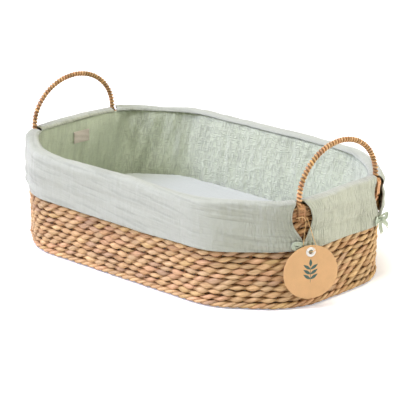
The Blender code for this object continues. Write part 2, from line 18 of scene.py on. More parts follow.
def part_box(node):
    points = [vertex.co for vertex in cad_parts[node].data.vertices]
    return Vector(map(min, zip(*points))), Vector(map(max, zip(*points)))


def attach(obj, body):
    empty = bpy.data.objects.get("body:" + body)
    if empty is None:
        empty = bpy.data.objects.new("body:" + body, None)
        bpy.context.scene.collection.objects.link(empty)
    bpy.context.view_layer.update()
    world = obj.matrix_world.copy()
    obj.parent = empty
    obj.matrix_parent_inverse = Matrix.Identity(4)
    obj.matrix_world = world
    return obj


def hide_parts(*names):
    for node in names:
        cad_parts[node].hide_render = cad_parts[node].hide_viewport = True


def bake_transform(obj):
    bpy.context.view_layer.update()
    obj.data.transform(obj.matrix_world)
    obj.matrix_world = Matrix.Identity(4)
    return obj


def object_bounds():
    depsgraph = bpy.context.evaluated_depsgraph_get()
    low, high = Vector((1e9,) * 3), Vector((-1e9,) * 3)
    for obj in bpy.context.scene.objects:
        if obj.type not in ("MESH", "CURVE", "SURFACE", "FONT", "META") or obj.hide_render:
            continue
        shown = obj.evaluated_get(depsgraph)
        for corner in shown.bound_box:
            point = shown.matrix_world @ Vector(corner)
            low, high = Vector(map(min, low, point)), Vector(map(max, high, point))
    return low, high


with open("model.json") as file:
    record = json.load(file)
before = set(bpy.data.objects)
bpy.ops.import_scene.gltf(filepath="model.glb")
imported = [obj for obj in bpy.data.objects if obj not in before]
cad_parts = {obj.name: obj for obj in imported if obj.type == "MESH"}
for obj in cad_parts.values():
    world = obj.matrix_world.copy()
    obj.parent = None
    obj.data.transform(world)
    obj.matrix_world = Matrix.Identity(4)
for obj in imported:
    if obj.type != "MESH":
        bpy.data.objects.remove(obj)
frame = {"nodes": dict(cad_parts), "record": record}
cad_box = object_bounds()

# Outline of the weave's outer face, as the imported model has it: half sizes, the y of the
# sharp corners on the ends, the x of those on the long sides, and the corner radius
Plan = namedtuple("Plan", "half_length half_width end_flat side_flat radius")
FOOT_PLAN = Plan(0.3875, 0.234, 0.130, 0.249, 0.150)
RIM_PLAN = Plan(0.3850, 0.243, 0.138, 0.241, 0.100)
PLAN_RISE = 0.220
LEG_SHARE = 0.34
LEG_STATIONS = {
    "near_right": 16 - LEG_SHARE,
    "near_left": 1 + LEG_SHARE,
    "far_left": 8 - LEG_SHARE,
    "far_right": 9 + LEG_SHARE,
}
LEG_INSET = 0.0045

# Camera: where it stands seen from the basket, and what it aims at
CAMERA_AZIMUTH = 43.3
CAMERA_ELEVATION = 17.95
CAMERA_DISTANCE = 4.29
CAMERA_LENS = 184.5
CAMERA_SENSOR = 36.0
CAMERA_AIM_HEIGHT = 0.117
CAMERA_AIM_RIGHT = 0.003
CAMERA_AIM_UP = -0.0057

# Weave
ROW_PITCH = 0.0115
STRAND_SEGMENT = 0.0300
STRAND_HEIGHT = 0.0122
STRAND_THICKNESS = 0.0062
STRAND_SWING = 0.0025
# Painted shade: how much darker a strand is coloured at its upper and lower edges, where it meets
# its neighbours
EDGE_SHADE = 0.60
# Rows from this height up lie under the skirt and show only through its slits; their tone colours
# them darker and redder, as painted shade
COVERED_FROM = 0.135
COVERED_ROWS_SHADE_TONE = (0.86, 0.75, 0.68)
# Stakes show only in the gaps between rows; this tone and their low painted lightness darken them as
# painted shade
STAKE_SHADE_TONE = (0.50, 0.40, 0.30)
STAKE_DEPTH = 0.0009
STAKE_HALF_WIDTH = 0.0045
FOOT_ROPE_INSET = 0.0028
RIM_ROPE_INSETS = (0.0016, 0.0078, 0.0140)
SIDE_RISE = 0.0020
END_RISE = 0.0029
WALL_CENTRE_INSET = 0.0038

# The tag's cord. Its route is in the tag's frame (along, up, out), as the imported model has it,
# in tenths of a millimetre
CORD_DIAMETER = 0.0016
PLY_PITCH = 0.0052
CORD_TONE = (0.86, 0.60, 0.31)
CORD_ROUTE = np.array([
    (-166, 680, -109), (-129, 680, -119), (-92, 678, -130), (-59, 666, -122), (-44, 634, -98),
    (-37, 585, -76), (-12, 500, -52), (16, 400, -28), (44, 300, -6), (74, 200, 16), (96, 130, 29),
    (99, 80, 35), (80, 40, 37), (50, 16, 31), (26, 5, 18), (0, 0, 0), (-26, 5, -18),
    (-50, 15, -31), (-82, 38, -38), (-112, 78, -42), (-131, 130, -46), (-133, 190, -50),
    (-123, 280, -55), (-109, 400, -61), (-96, 510, -66), (-88, 605, -69), (-106, 654, -66),
    (-134, 685, -61), (-161, 698, -56), (-185, 702, -49), (-208, 702, -40), (-237, 699, -29),
    (-266, 694, -33), (-281, 689, -50), (-277, 684, -73), (-257, 681, -89), (-216, 680, -98),
    (-178, 680, -106)
]) / 10000

UP = np.array([0.0, 0.0, 1.0])


# ---- outline of the basket ----

def plan_at(z):
    share = z / PLAN_RISE
    return Plan(*(low + (high - low) * share for low, high in zip(FOOT_PLAN, RIM_PLAN)))


def circle(angles):
    return np.stack([np.cos(angles), np.sin(angles)], axis=-1)


def corner_slant(plan):
    """The direction that a slanted side faces, and how far out it stands."""
    slant = math.atan2(plan.half_length - plan.side_flat, plan.half_width - plan.end_flat)
    return slant, plan.half_length * math.cos(slant) + plan.end_flat * math.sin(slant)


def outline(plan):
    """The eight sides and the eight arcs after them, as arrays."""
    slant, reach = corner_slant(plan)
    angles = np.array([0.0, slant, math.pi / 2, math.pi - slant])
    angles = np.concatenate([angles, angles + math.pi])
    inner = np.array([plan.half_length, reach, plan.half_width, reach] * 2) - plan.radius
    turns = np.diff(np.append(angles, 2 * math.pi))
    after = angles + turns
    beyond = np.roll(inner, -1)
    centres = np.stack([
        (inner * np.sin(after) - beyond * np.sin(angles)) / np.sin(turns),
        (beyond * np.cos(angles) - inner * np.cos(after)) / np.sin(turns),
    ], axis=1)
    starts = centres + plan.radius * circle(angles)
    before = np.roll(centres + plan.radius * circle(after), 1, axis=0)
    lengths = np.empty(16)
    lengths[0::2] = np.linalg.norm(starts - before, axis=1)
    lengths[1::2] = plan.radius * turns
    edges = np.concatenate([[0.0], np.cumsum(lengths)])
    return angles, turns, centres, before, starts, edges


def walk(plan, distance):
    """Points and outward angles at distances along the outline, anticlockwise from +X."""
    angles, turns, centres, before, starts, edges = outline(plan)
    distance = np.mod(np.asarray(distance, float), edges[-1])
    piece = np.clip(np.searchsorted(edges, distance, side="right") - 1, 0, 15)
    share = (distance - edges[piece]) / np.diff(edges)[piece]
    side = piece // 2
    on_arc = piece % 2 == 1
    angle = angles[side] + np.where(on_arc, turns[side] * share, 0.0)
    straight = before[side] + (starts[side] - before[side]) * share[:, None]
    bent = centres[side] + plan.radius * circle(angle)
    return np.where(on_arc[:, None], bent, straight), angle


def perimeter(plan):
    return outline(plan)[-1][-1]


def distance_at(plan, station):
    """Distance along the outline. Station 2k to 2k + 1 is side k, then comes its arc."""
    edges = outline(plan)[-1]
    turns, rest = divmod(station, 16)
    return turns * edges[-1] + float(np.interp(rest, np.arange(17), edges))


def place(plan, distance, out, z):
    """Points out from the outline, with the outward direction at each."""
    flat, angle = walk(plan, distance)
    outward = np.column_stack([circle(angle), np.zeros_like(angle)])
    z = np.broadcast_to(z, angle.shape)
    points = np.column_stack([flat, z]) + outward * np.broadcast_to(out, angle.shape)[:, None]
    return points, outward


def spot(plan, distance, out, z):
    """One point out from the outline, with its outward direction."""
    point, outward = place(plan, [distance], out, z)
    return point[0], outward[0]


def frame_at(point, *axes):
    """A frame at a point, with the given directions as its X, Y and Z."""
    turn = Matrix([Vector(axis) for axis in axes]).transposed().to_4x4()
    return Matrix.Translation(Vector(point)) @ turn


def moved(points, place_at):
    """Points taken from a frame of their own to the basket's."""
    turn = np.array(place_at)
    return points @ turn[:3, :3].T + turn[:3, 3]


def facing(station, z, out):
    """A frame standing on the outline: X along it, Y up and Z outwards."""
    plan = plan_at(z)
    point, outward = spot(plan, distance_at(plan, station), out, z)
    return frame_at(point, np.cross(UP, outward), UP, outward)


# ---- small helpers ----

def lattice(u, v, seed):
    """Smooth noise from -1 to 1 over two coordinates."""
    table = np.random.default_rng(seed).random((61, 67)) * 2 - 1
    u, v = np.broadcast_arrays(np.asarray(u, float), np.asarray(v, float))
    i, j = np.floor(u).astype(int), np.floor(v).astype(int)
    f, g = u - i, v - j
    f, g = f * f * (3 - 2 * f), g * g * (3 - 2 * g)

    def pick(a, b):
        return table[np.mod(a, 61), np.mod(b, 67)]

    low = pick(i, j) * (1 - f) + pick(i + 1, j) * f
    high = pick(i, j + 1) * (1 - f) + pick(i + 1, j + 1) * f
    return low * (1 - g) + high * g


def smooth_step(low, high, x):
    t = np.clip((x - low) / (high - low), 0.0, 1.0)
    return t * t * (3 - 2 * t)


def unit(vectors):
    return vectors / np.linalg.norm(vectors, axis=1, keepdims=True)


def tangents(points):
    return unit(np.gradient(points, axis=0))


def lengths_along(points):
    """How far along the row each point lies."""
    step = np.linalg.norm(np.diff(points, axis=0), axis=1)
    return np.concatenate([[0.0], np.cumsum(step)])


def smooth_curve(points, spacing):
    """Points about a spacing apart on a smooth curve through the given ones."""
    points = [Vector(p).to_3d() for p in points]
    padded = [2 * points[0] - points[1], *points, 2 * points[-1] - points[-2]]
    lengths = [(b - a).length for a, b in zip(padded, padded[1:])]
    slopes = [
        ((b - a) / before * after + (c - b) / after * before) / (before + after)
        for a, b, c, before, after in zip(padded, padded[1:], padded[2:], lengths, lengths[1:])
    ]
    route = [points[0]]
    for i, (start, end) in enumerate(zip(points, points[1:])):
        third = lengths[i + 1] / 3
        count = math.ceil(lengths[i + 1] / spacing)
        route += interpolate_bezier(
            start, start + slopes[i] * third, end - slopes[i + 1] * third, end, count + 1)[1:]
    return np.array(route)


def eased(points, reach):
    """The same row of points with its corners softened, its ends and their slopes kept."""
    spacing = np.linalg.norm(points[1] - points[0])
    pad = int(reach / spacing / 2)
    weights = np.hanning(2 * pad + 3)[1:-1]
    padded = np.concatenate([2 * points[0] - points[pad:0:-1], points,
                             2 * points[-1] - points[-2:-pad - 2:-1]])
    return np.stack([np.convolve(column, weights / weights.sum(), "valid")
                     for column in padded.T], axis=1)


def route_frames(points, outward):
    """Unit vectors across a route: one kept near outward, and the one square to both."""
    along = tangents(points)
    out = unit(outward - along * (outward * along).sum(1)[:, None])
    return out, np.cross(out, along)


def set_vectors(mesh, name, values):
    """Stores a vector at each of the mesh's points."""
    found = mesh.attributes.get(name)
    if found:
        mesh.attributes.remove(found)
    data = mesh.attributes.new(name, "FLOAT_VECTOR", "POINT").data
    data.foreach_set("vector", np.asarray(values, np.float32).ravel())


def add_piece(name, verts, faces, material, body="root", smooth=True, **attributes):
    """A mesh piece with float vector attributes at its points."""
    mesh = bpy.data.meshes.new(name)
    mesh.from_pydata(np.asarray(verts).tolist(), [], [list(map(int, f)) for f in faces])
    for key, values in attributes.items():
        set_vectors(mesh, key, values)
    mesh.materials.append(material)
    if smooth:
        mesh.shade_smooth()
    piece = bpy.data.objects.new(name, mesh)
    bpy.context.scene.collection.objects.link(piece)
    if body:
        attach(piece, body)
    return piece


def grid_faces(rows, columns, closed=""):
    """Quads over a grid of points. Its columns can run round, or both its rows and columns."""
    i = np.arange(rows if closed == "both" else rows - 1)[:, None]
    j = np.arange(columns if closed else columns - 1)[None]
    below, beside = np.mod(i + 1, rows), np.mod(j + 1, columns)
    corners = [i * columns + j, i * columns + beside, below * columns + beside,
               below * columns + j]
    return np.stack(np.broadcast_arrays(*corners), axis=-1).reshape(-1, 4)


def thicken(piece, thickness, offset=0.0):
    shell = piece.modifiers.new("thickness", "SOLIDIFY")
    shell.thickness = thickness
    shell.offset = offset


class Strands:
    """Collects tubes into one mesh, with each point's colour, its place on its strand, and how dark
    its painted shade is, at the strand's upper and lower edges and wherever it turns inward.
    """

    def __init__(self, crevice=EDGE_SHADE, shade_fall=2):
        self.verts, self.faces, self.tint, self.strand = [], [], [], []
        self.count = 0
        self.crevice, self.shade_fall = crevice, shade_fall

    def tube(self, centres, out, up, thick, high, tint, painted_lightness, start=0.0, closed=False, sides=8):
        n = len(centres)
        around = np.linspace(0, 2 * math.pi, sides, endpoint=False)
        out, up = (np.broadcast_to(way, centres.shape)[:, None] for way in (out, up))
        thick = np.broadcast_to(thick, n)[:, None] * np.cos(around)
        high = np.broadcast_to(high, n)[:, None] * np.sin(around)
        verts = centres[:, None] + out * thick[..., None] + up * high[..., None]
        faces = grid_faces(n, sides, "both" if closed else "columns")[:, [0, 3, 2, 1]]
        self.faces += (faces + self.count).tolist()
        if not closed:
            first, last = self.count, self.count + (n - 1) * sides
            self.faces += [range(first + sides - 1, first - 1, -1), range(last, last + sides)]
        # Painted shade at the strand's upper and lower edges
        edge_lightness = 1 - self.crevice * np.abs(np.sin(around)) ** self.shade_fall
        strand = np.stack(np.broadcast_arrays(
            (start + lengths_along(centres))[:, None], around / (2 * math.pi),
            np.broadcast_to(painted_lightness, n)[:, None] * edge_lightness), axis=-1)
        self.verts.append(verts.reshape(-1, 3))
        self.strand.append(strand.reshape(-1, 3))
        self.tint.append(np.repeat(np.broadcast_to(tint, (n, 3)), sides, axis=0))
        self.count += n * sides

    def piece(self, name, material, body="root"):
        return add_piece(
            name, np.concatenate(self.verts), self.faces, material, body,
            tint=np.concatenate(self.tint), strand=np.concatenate(self.strand))


# ---- materials ----

def new_material(name, roughness=0.7, **sockets):
    material = bpy.data.materials.new(name)
    material.use_nodes = True
    inputs = material.node_tree.nodes["Principled BSDF"].inputs
    inputs["Roughness"].default_value = roughness
    for key, value in sockets.items():
        inputs[key.replace("_", " ")].default_value = value
    return material, material.node_tree


def add_node(tree, kind, result, **values):
    """A new node's output. The values are its settings and inputs, or other nodes' outputs."""
    node = tree.nodes.new("ShaderNode" + kind)
    for key, value in values.items():
        if key.startswith("in_"):
            name = key[3:]
            socket = node.inputs[int(name) if name.isdigit() else name.replace("_", " ")]
            if isinstance(value, bpy.types.NodeSocket):
                tree.links.new(value, socket)
            else:
                socket.default_value = value
        else:
            setattr(node, key, value)
    return node.outputs[result]


def attribute(tree, name):
    return add_node(tree, "Attribute", "Vector", attribute_name=name)


def noise(tree, vector, scale, detail=2.0, rough=0.5):
    """Noise whose scale differs along the vector's axes."""
    spread = add_node(tree, "Mapping", "Vector", in_Vector=vector, in_Scale=scale)
    return add_node(tree, "TexNoise", "Fac", in_Vector=spread, in_Scale=1.0, in_Detail=detail,
                    in_Roughness=rough)


def mapped(tree, value, low, high, to_low, to_high):
    return add_node(tree, "MapRange", "Result", in_Value=value, in_From_Min=low,
                    in_From_Max=high, in_To_Min=to_low, in_To_Max=to_high)


def math_node(tree, operation, first, second=0.0):
    return add_node(tree, "Math", "Value", operation=operation, in_0=first, in_1=second)


def product(tree, first, *others):
    for other in others:
        first = math_node(tree, "MULTIPLY", first, other)
    return first


def total(tree, first, *others):
    for other in others:
        first = math_node(tree, "ADD", first, other)
    return first


def dress(material, colour, height, strength, distance):
    """Gives a material its colour and its relief."""
    tree = material.node_tree
    shader = tree.nodes["Principled BSDF"]
    normal = add_node(tree, "Bump", "Normal", in_Strength=strength, in_Distance=distance,
                      in_Height=height)
    tree.links.new(colour, shader.inputs["Base Color"])
    tree.links.new(normal, shader.inputs["Normal"])
    return material


def scaled_colour(tree, colour, factor):
    return add_node(tree, "VectorMath", "Vector", operation="SCALE", in_0=colour,
                    in_Scale=factor)


def strand_material(name, roughness, streak, bump):
    """Dried plant stems: each strand's own colour, with fibre streaks and blotches, and painted
    shade at its edges and where it turns inward; redder where it is dark.
    """
    material, tree = new_material(name, roughness, Specular_IOR_Level=0.22)
    tint, strand = attribute(tree, "tint"), attribute(tree, "strand")
    painted_lightness = add_node(tree, "SeparateXYZ", "Z", in_Vector=strand)
    fibres = noise(tree, strand, (45.0, 14.0, 0.3), 3.0, 0.6)
    blotches = noise(tree, strand, (70.0, 1.5, 0.3))
    # Fibres and blotches are the stems' own colour; the third factor is painted shade, from each
    # point's painted lightness
    shade = product(
        tree, mapped(tree, fibres, 0.3, 0.7, 1.0 - streak, 1.0 + streak * 0.6),
        mapped(tree, blotches, 0.3, 0.7, 0.88, 1.08), mapped(tree, painted_lightness, 0.0, 0.8, 0.28, 1.0))
    red, green, blue = (math_node(tree, "POWER", shade, power) for power in (0.92, 1.15, 1.45))
    warm = add_node(tree, "CombineXYZ", "Vector", in_X=red, in_Y=green, in_Z=blue)
    colour = add_node(tree, "VectorMath", "Vector", operation="MULTIPLY", in_0=tint, in_1=warm)
    return dress(material, colour, total(tree, fibres, product(tree, blotches, 0.5)), 0.8, bump)


def muslin_material(name, colour, crease_shade=0.0, streak=0.0, crossing=1.0):
    """Double gauze: lines of crinkles, as strong as the cloth's Z says, on fine threads.

    crease_shade paints shade into long level creases, streak paints shade into the hollows of
    upright gathers and a slight highlight on their ridges, and crossing says how strong the level
    lines are beside the upright ones.
    """
    material, tree = new_material(
        name, 0.9, Sheen_Weight=0.3, Sheen_Roughness=0.5, Specular_IOR_Level=0.2)
    cloth = attribute(tree, "cloth")
    amount = add_node(tree, "SeparateXYZ", "Z", in_Vector=cloth)
    leaning = add_node(tree, "VectorRotate", "Vector", in_Vector=cloth, in_Angle=0.10)
    upright, level, puckers, threads, patches, gathers = (
        noise(tree, cloth, (across, up, 0.0), detail) for across, up, detail in (
            (430, 62, 0.5), (78, 400, 0.5), (160, 90, 2), (900, 900, 1), (13, 17, 2), (58, 7, 2)))
    creases = noise(tree, leaning, (9.0, 105.0, 0.0))
    lines = math_node(tree, "MINIMUM", mapped(tree, upright, 0.36, 0.50, 0.0, 1.0),
                      mapped(tree, level, 0.34, 0.48, 1.0 - crossing, 1.0))
    contrast = product(tree, amount, mapped(tree, patches, 0.35, 0.62, 1.25, 0.55))
    dark = product(tree, math_node(tree, "SUBTRACT", 1.0, lines), contrast)
    # The crease and gather factors are painted shade in creases and in the hollows of gathers, with
    # a slight painted highlight on the gathers' ridges
    shade = product(
        tree, mapped(tree, dark, 0.0, 1.0, 1.03, 0.79),
        mapped(tree, threads, 0.3, 0.7, 0.98, 1.02),
        mapped(tree, puckers, 0.3, 0.7, 0.97, 1.02),
        mapped(tree, creases, 0.36, 0.46, 1.0 - crease_shade, 1.0),
        mapped(tree, gathers, 0.36, 0.56, 1.0 - streak, 1.0 + streak * 0.3))
    lumps = total(tree, lines, product(tree, puckers, 0.5))
    relief = total(
        tree, product(tree, lumps, total(tree, amount, 0.15)), product(tree, threads, 0.12),
        product(tree, creases, crease_shade * 14.0), product(tree, gathers, streak * 16.0))
    return dress(material, scaled_colour(tree, colour, shade), relief, 0.7, 0.0016)


def speckled_material(name, colour, roughness, scale, contrast, bump, **sockets):
    """An even material with fine speckles, worn and clouded a little."""
    material, tree = new_material(name, roughness, **sockets)
    where = add_node(tree, "TexCoord", "Object")
    fine = noise(tree, where, (scale,) * 3, 3.0, 0.6)
    cloud = noise(tree, where, (scale * 0.06,) * 3)
    shade = product(tree, mapped(tree, fine, 0.3, 0.7, 1 - contrast, 1 + contrast),
                    mapped(tree, cloud, 0.3, 0.7, 0.96, 1.03))
    return dress(material, scaled_colour(tree, colour, shade), fine, 0.5, bump)


WEAVE = strand_material("woven_stems", 0.6, 0.26, 0.0009)
HANDLE = strand_material("handle_strand", 0.5, 0.22, 0.0006)
# The skirt and lining are one sage cloth, coloured in three brightnesses by where it hangs: darkest
# on the long sides, lighter on the ends, lightest on the lining inside. This is painted light and
# shade.
SIDE_MUSLIN_SHADED = muslin_material("sage_muslin_side_shaded", (0.408, 0.430, 0.355), 0.13, crossing=0.5)
END_MUSLIN_HALF_LIT = muslin_material("sage_muslin_end_half_lit", (0.468, 0.490, 0.392), 0.0, 0.07, crossing=0.35)
LINING_LIT = muslin_material("sage_lining_lit", (0.625, 0.680, 0.515), 0.0, 0.09, crossing=0.8)
SHEET = muslin_material("mint_muslin", (0.425, 0.450, 0.410), 0.02)
BOW = muslin_material("ribbon_muslin", (0.43, 0.485, 0.38))
WIRE = speckled_material("drawn_wire", (0.35, 0.35, 0.36), 0.35, 900, 0.1, 0.00005, Metallic=1.0)
# The handle cores: cane coloured dark as painted shade in the gaps between the coil's wraps
SHADED_CANE = speckled_material("plain_cane", (0.28, 0.17, 0.09), 0.7, 700, 0.15, 0.0001)
CARD = speckled_material("kraft_card", (0.71, 0.425, 0.195), 0.62, 900, 0.05, 0.00006)
EYELET = speckled_material("enamel", (0.86, 0.85, 0.80), 0.3, 500, 0.02, 0.00002)
LABEL = speckled_material("woven_tape", (0.68, 0.60, 0.52), 0.85, 1500, 0.08, 0.0001)
PRINT = speckled_material("green_print", (0.06, 0.12, 0.10), 0.6, 900, 0.1, 0.00002)
JUTE = strand_material("twisted_jute", 0.85, 0.2, 0.0002)

TAN = np.array([0.665, 0.458, 0.250])
WEAVE_TONES = TAN * [
    (1.0, 1.0, 1.0), (1.04, 1.0, 0.95), (1.08, 1.06, 0.98), (1.04, 0.93, 0.95),
    (0.86, 0.82, 0.90), (1.0, 1.0, 0.84), (0.86, 0.76, 0.70),
]
WEAVE_ODDS = (0.28, 0.2, 0.17, 0.13, 0.08, 0.07, 0.07)


def strand_tones(count, rng):
    """A colour for each of so many stretches of stem."""
    tones = WEAVE_TONES[rng.choice(len(WEAVE_TONES), count, p=WEAVE_ODDS)]
    return tones * rng.uniform(0.86, 1.10, (count, 1))


def per_period(values, phase):
    """Values that belong to each visible stretch, changing where the strand is hidden."""
    whole = np.floor(phase).astype(int)
    mix = smooth_step(0.4, 0.6, phase - whole)
    first, second = values[np.mod(whole, len(values))], values[np.mod(whole + 1, len(values))]
    mix = mix if values.ndim == 1 else mix[:, None]
    return first * (1 - mix) + second * mix


# ---- basket ----

def twined_row(strands, z, shift, rng, rings=7, sides=8, tone=(1.0, 1.0, 1.0)):
    """Two strands that cross between the stakes, so that each shows in turn."""
    plan = plan_at(z)
    total_length = perimeter(plan)
    periods = round(total_length / (2 * STRAND_SEGMENT))
    count = periods * 2 * rings
    share = np.arange(count) / count
    distance = share * total_length
    wave = lattice(distance * 9, z * 90, 5) * 0.0011
    uneven = 0.10 * lattice(distance * 12, z * 70, 6) * np.sin(math.pi * share) ** 0.2
    _, facing_angle = walk(plan, distance)
    at_end = smooth_step(0.58, 0.95, np.abs(np.cos(facing_angle)))
    slant = SIDE_RISE + (END_RISE - SIDE_RISE) * at_end
    for strand in range(2):
        phase = share * periods + shift + strand / 2 + uneven
        turn = 2 * math.pi * phase
        rise = slant * per_period(rng.uniform(0.3, 1.6, periods), phase)
        tall = per_period(STRAND_HEIGHT * rng.uniform(0.80, 1.16, periods), phase)
        lift = per_period(rng.uniform(-0.0011, 0.0011, periods), phase)
        plump = per_period(rng.uniform(0.78, 1.15, periods), phase)
        shown = np.cos(turn)
        centres, outward = place(plan, distance, STRAND_SWING * shown - WALL_CENTRE_INSET,
                                 z + wave + lift + rise * np.sin(turn))
        narrow = 0.42 + 0.58 * np.abs(shown) ** 0.9
        tint = per_period(strand_tones(periods, rng) * tone, phase)
        # Painted shade: each strand is coloured darker where it turns inward behind the stakes
        strands.tube(centres, outward, UP, STRAND_THICKNESS / 2 * plump, tall / 2 * narrow, tint,
                     0.5 + 0.5 * shown, rng.uniform(0, 50), True, sides)


def stakes(strands, low, high, rng):
    """The upright stems that the rows are twined round, coloured dark as painted shade in the gaps
    between the rows.
    """
    count = 4 * round(perimeter(plan_at(low)) / (2 * STRAND_SEGMENT))
    for number in range(count):
        share = (number + 0.5) / count
        spots = []
        for z in np.linspace(low, high, 6):
            level = plan_at(z)
            spots.append(spot(level, share * perimeter(level), -WALL_CENTRE_INSET, z))
        points, outwards = map(np.array, zip(*spots))
        _, across = route_frames(points, outwards)
        tint = strand_tones(1, rng)[0] * STAKE_SHADE_TONE
        strands.tube(points, outwards, across, STAKE_DEPTH, STAKE_HALF_WIDTH, tint, 0.3,
                     rng.uniform(0, 50), sides=6)


def rope(strands, z, inset, radius, rng, pitch=0.060, rings=14, sides=8):
    """Three stems twisted together along the outline."""
    plan = plan_at(z)
    turns = round(perimeter(plan) / pitch)
    share = np.arange(turns * rings) / (turns * rings)
    ply_radius = radius * 0.56
    swing = radius - ply_radius
    for ply in range(3):
        phase = share * turns + ply / 3
        turn = 2 * math.pi * phase
        centres, outward = place(plan, share * perimeter(plan), -inset + swing * np.cos(turn),
                                 z + swing * np.sin(turn))
        size = per_period(ply_radius * rng.uniform(0.85, 1.1, turns), phase)
        tint = per_period(strand_tones(turns, rng), phase)
        # Painted shade: each ply is coloured darker where it turns under the others
        strands.tube(centres, outward, UP, size, size * 1.05, tint, 0.6 + 0.4 * np.cos(turn),
                     rng.uniform(0, 50), True, sides)


def woven_wall():
    rng = np.random.default_rng(11)
    low, high = (corner[2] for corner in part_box("woven_wall"))
    lower, upper = Strands(), Strands()
    for number, z in enumerate(np.arange(low + ROW_PITCH * 0.45, high, ROW_PITCH)):
        shift = number % 2 * 0.25 + rng.uniform(-0.03, 0.03)
        if z < COVERED_FROM:
            twined_row(lower, z, shift, rng)
        else:
            # Covered rows, coloured darker and redder: painted shade
            twined_row(upper, z, shift, rng, rings=6, sides=6, tone=COVERED_ROWS_SHADE_TONE)
    stakes(upper, low, high, rng)
    wall = lower.piece("woven_wall_rows", WEAVE)
    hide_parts("woven_wall")
    upper.piece("woven_wall_upper_rows", WEAVE)


def foot_braid():
    rng = np.random.default_rng(12)
    low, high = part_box("foot_braid")
    radius = (high[2] - low[2]) / 2
    strands = Strands()
    rope(strands, low[2] + radius, FOOT_ROPE_INSET, radius, rng)
    braid = strands.piece("foot_braid_rope", WEAVE)
    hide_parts("foot_braid")


def rim_border():
    rng = np.random.default_rng(13)
    low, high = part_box("rim_border")
    radius = (high[2] - low[2]) / 4
    strands = Strands()
    for inset in RIM_ROPE_INSETS:
        rope(strands, high[2] - radius, inset, radius, rng, pitch=0.045, rings=10, sides=6)
    rope(strands, high[2] - 3 * radius, RIM_ROPE_INSETS[0], radius * 0.9, rng, pitch=0.045,
         rings=10, sides=6)
    border = strands.piece("rim_border_ropes", WEAVE)
    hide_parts("rim_border")


def woven_floor():
    """Rows along the length, twined round cross stems."""
    rng = np.random.default_rng(14)
    low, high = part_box("woven_floor")
    middle = (low[2] + high[2]) / 2
    slant, reach = corner_slant(plan_at(0.0))
    pitch, segment = 0.0165, 0.036
    strands = Strands()
    rows = int(high[1] * 2 / pitch)
    for number in range(rows):
        y = (number + 0.5 - rows / 2) * pitch
        end = (reach - 0.014 - abs(y) * math.sin(slant)) / math.cos(slant)
        end = min(high[0] - 0.001, end)
        x = np.arange(-end, end, segment / 5)
        for strand in range(2):
            turn = math.pi * (x / segment + strand + number % 2 * 0.5)
            shown = np.cos(turn)
            centres = np.column_stack([x, y + 0.002 * np.sin(turn), middle - 0.0024 * shown])
            tint = strand_tones(1, rng)[0]
            # Painted shade: each strand is coloured darker where it dips under its partner
            strands.tube(centres, -UP, (0.0, 1.0, 0.0), 0.0026,
                         0.0075 * (0.6 + 0.4 * np.abs(shown)), tint, 0.55 + 0.45 * shown,
                         rng.uniform(0, 50), sides=6)
    floor = strands.piece("woven_floor_rows", WEAVE)
    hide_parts("woven_floor")


# ---- handles ----

COIL_PITCH = 0.0077
COIL_DEPTH = 0.0025
COIL_HALF_WIDTH = 0.0031
COIL_SINK = 0.0022
COIL_TONE = (1.14, 1.05, 0.94)


def arch(end, first, second):
    """The handle's centreline above the rim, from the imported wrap's own box."""
    low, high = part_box(end + "_handle_wrap")
    radius = (high[0] - low[0]) / 2
    foot, spring, top = low[2], low[2] + 0.009, high[2] - radius
    plan = plan_at(foot)
    stations = [distance_at(plan, LEG_STATIONS[leg]) for leg in (first, second)]
    ends, _ = place(plan, stations, -LEG_INSET, foot)
    middle = ends.mean(axis=0)
    angle = np.linspace(0, math.pi, 90)[:, None]
    points = middle + (ends[0] - middle) * np.cos(angle)
    points[:, 2] = spring + (top - spring) * np.sin(angle[:, 0])
    feet = ends + UP * 0.0005
    return smooth_curve([feet[0], *points[::2], feet[1]], 0.0015), radius


def handle(end, first, second, seed):
    """A flat strand coiled tightly round the core."""
    rng = np.random.default_rng(seed)
    path, radius = arch(end, first, second)
    length = lengths_along(path)
    turns = round(length[-1] / COIL_PITCH)
    share = np.linspace(0, 1, turns * 16)
    centre = np.stack([np.interp(share * length[-1], length, k) for k in path.T], axis=1)
    out, across = route_frames(centre, (1.0 if end == "near" else -1.0, 0.0, 0.0))
    phase = share * turns
    turn = 2 * math.pi * phase[:, None]
    radial = out * np.cos(turn) + across * np.sin(turn)
    lie = per_period(rng.uniform(0.84, 1.14, turns), phase)
    tones = strand_tones(turns, rng) * COIL_TONE * rng.uniform(0.66, 1.12, (turns, 1))
    # Painted shade, strong and broad, at each wrap's edges, so that the gaps between the wraps read
    # dark
    strands = Strands(crevice=0.95, shade_fall=1.3)
    strands.tube(centre + radial * (radius - COIL_SINK * lie)[:, None], radial, tangents(centre),
                 COIL_DEPTH * lie, COIL_HALF_WIDTH, per_period(tones, phase), 1.0)
    wrap = strands.piece(end + "_handle_coil", HANDLE)
    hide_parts(end + "_handle_wrap")


# Each leg's lashing is the same strand, coloured lighter or darker by how the light falls at that
# leg: painted light and shade
LASHING_LIT_AND_SHADED_TONES = {
    "near_right": (0.66, 0.54, 0.47),
    "near_left": (1.05, 0.95, 0.85),
    "far_left": (0.85, 0.75, 0.66),
    "far_right": (0.85, 0.75, 0.66),
}
LASHING_TURNS = (0.1960, 0.2014, 0.2068)
LASHING_HALF = 0.0082
BINDING_SIDES = (-0.0056, 0.0, 0.0056)


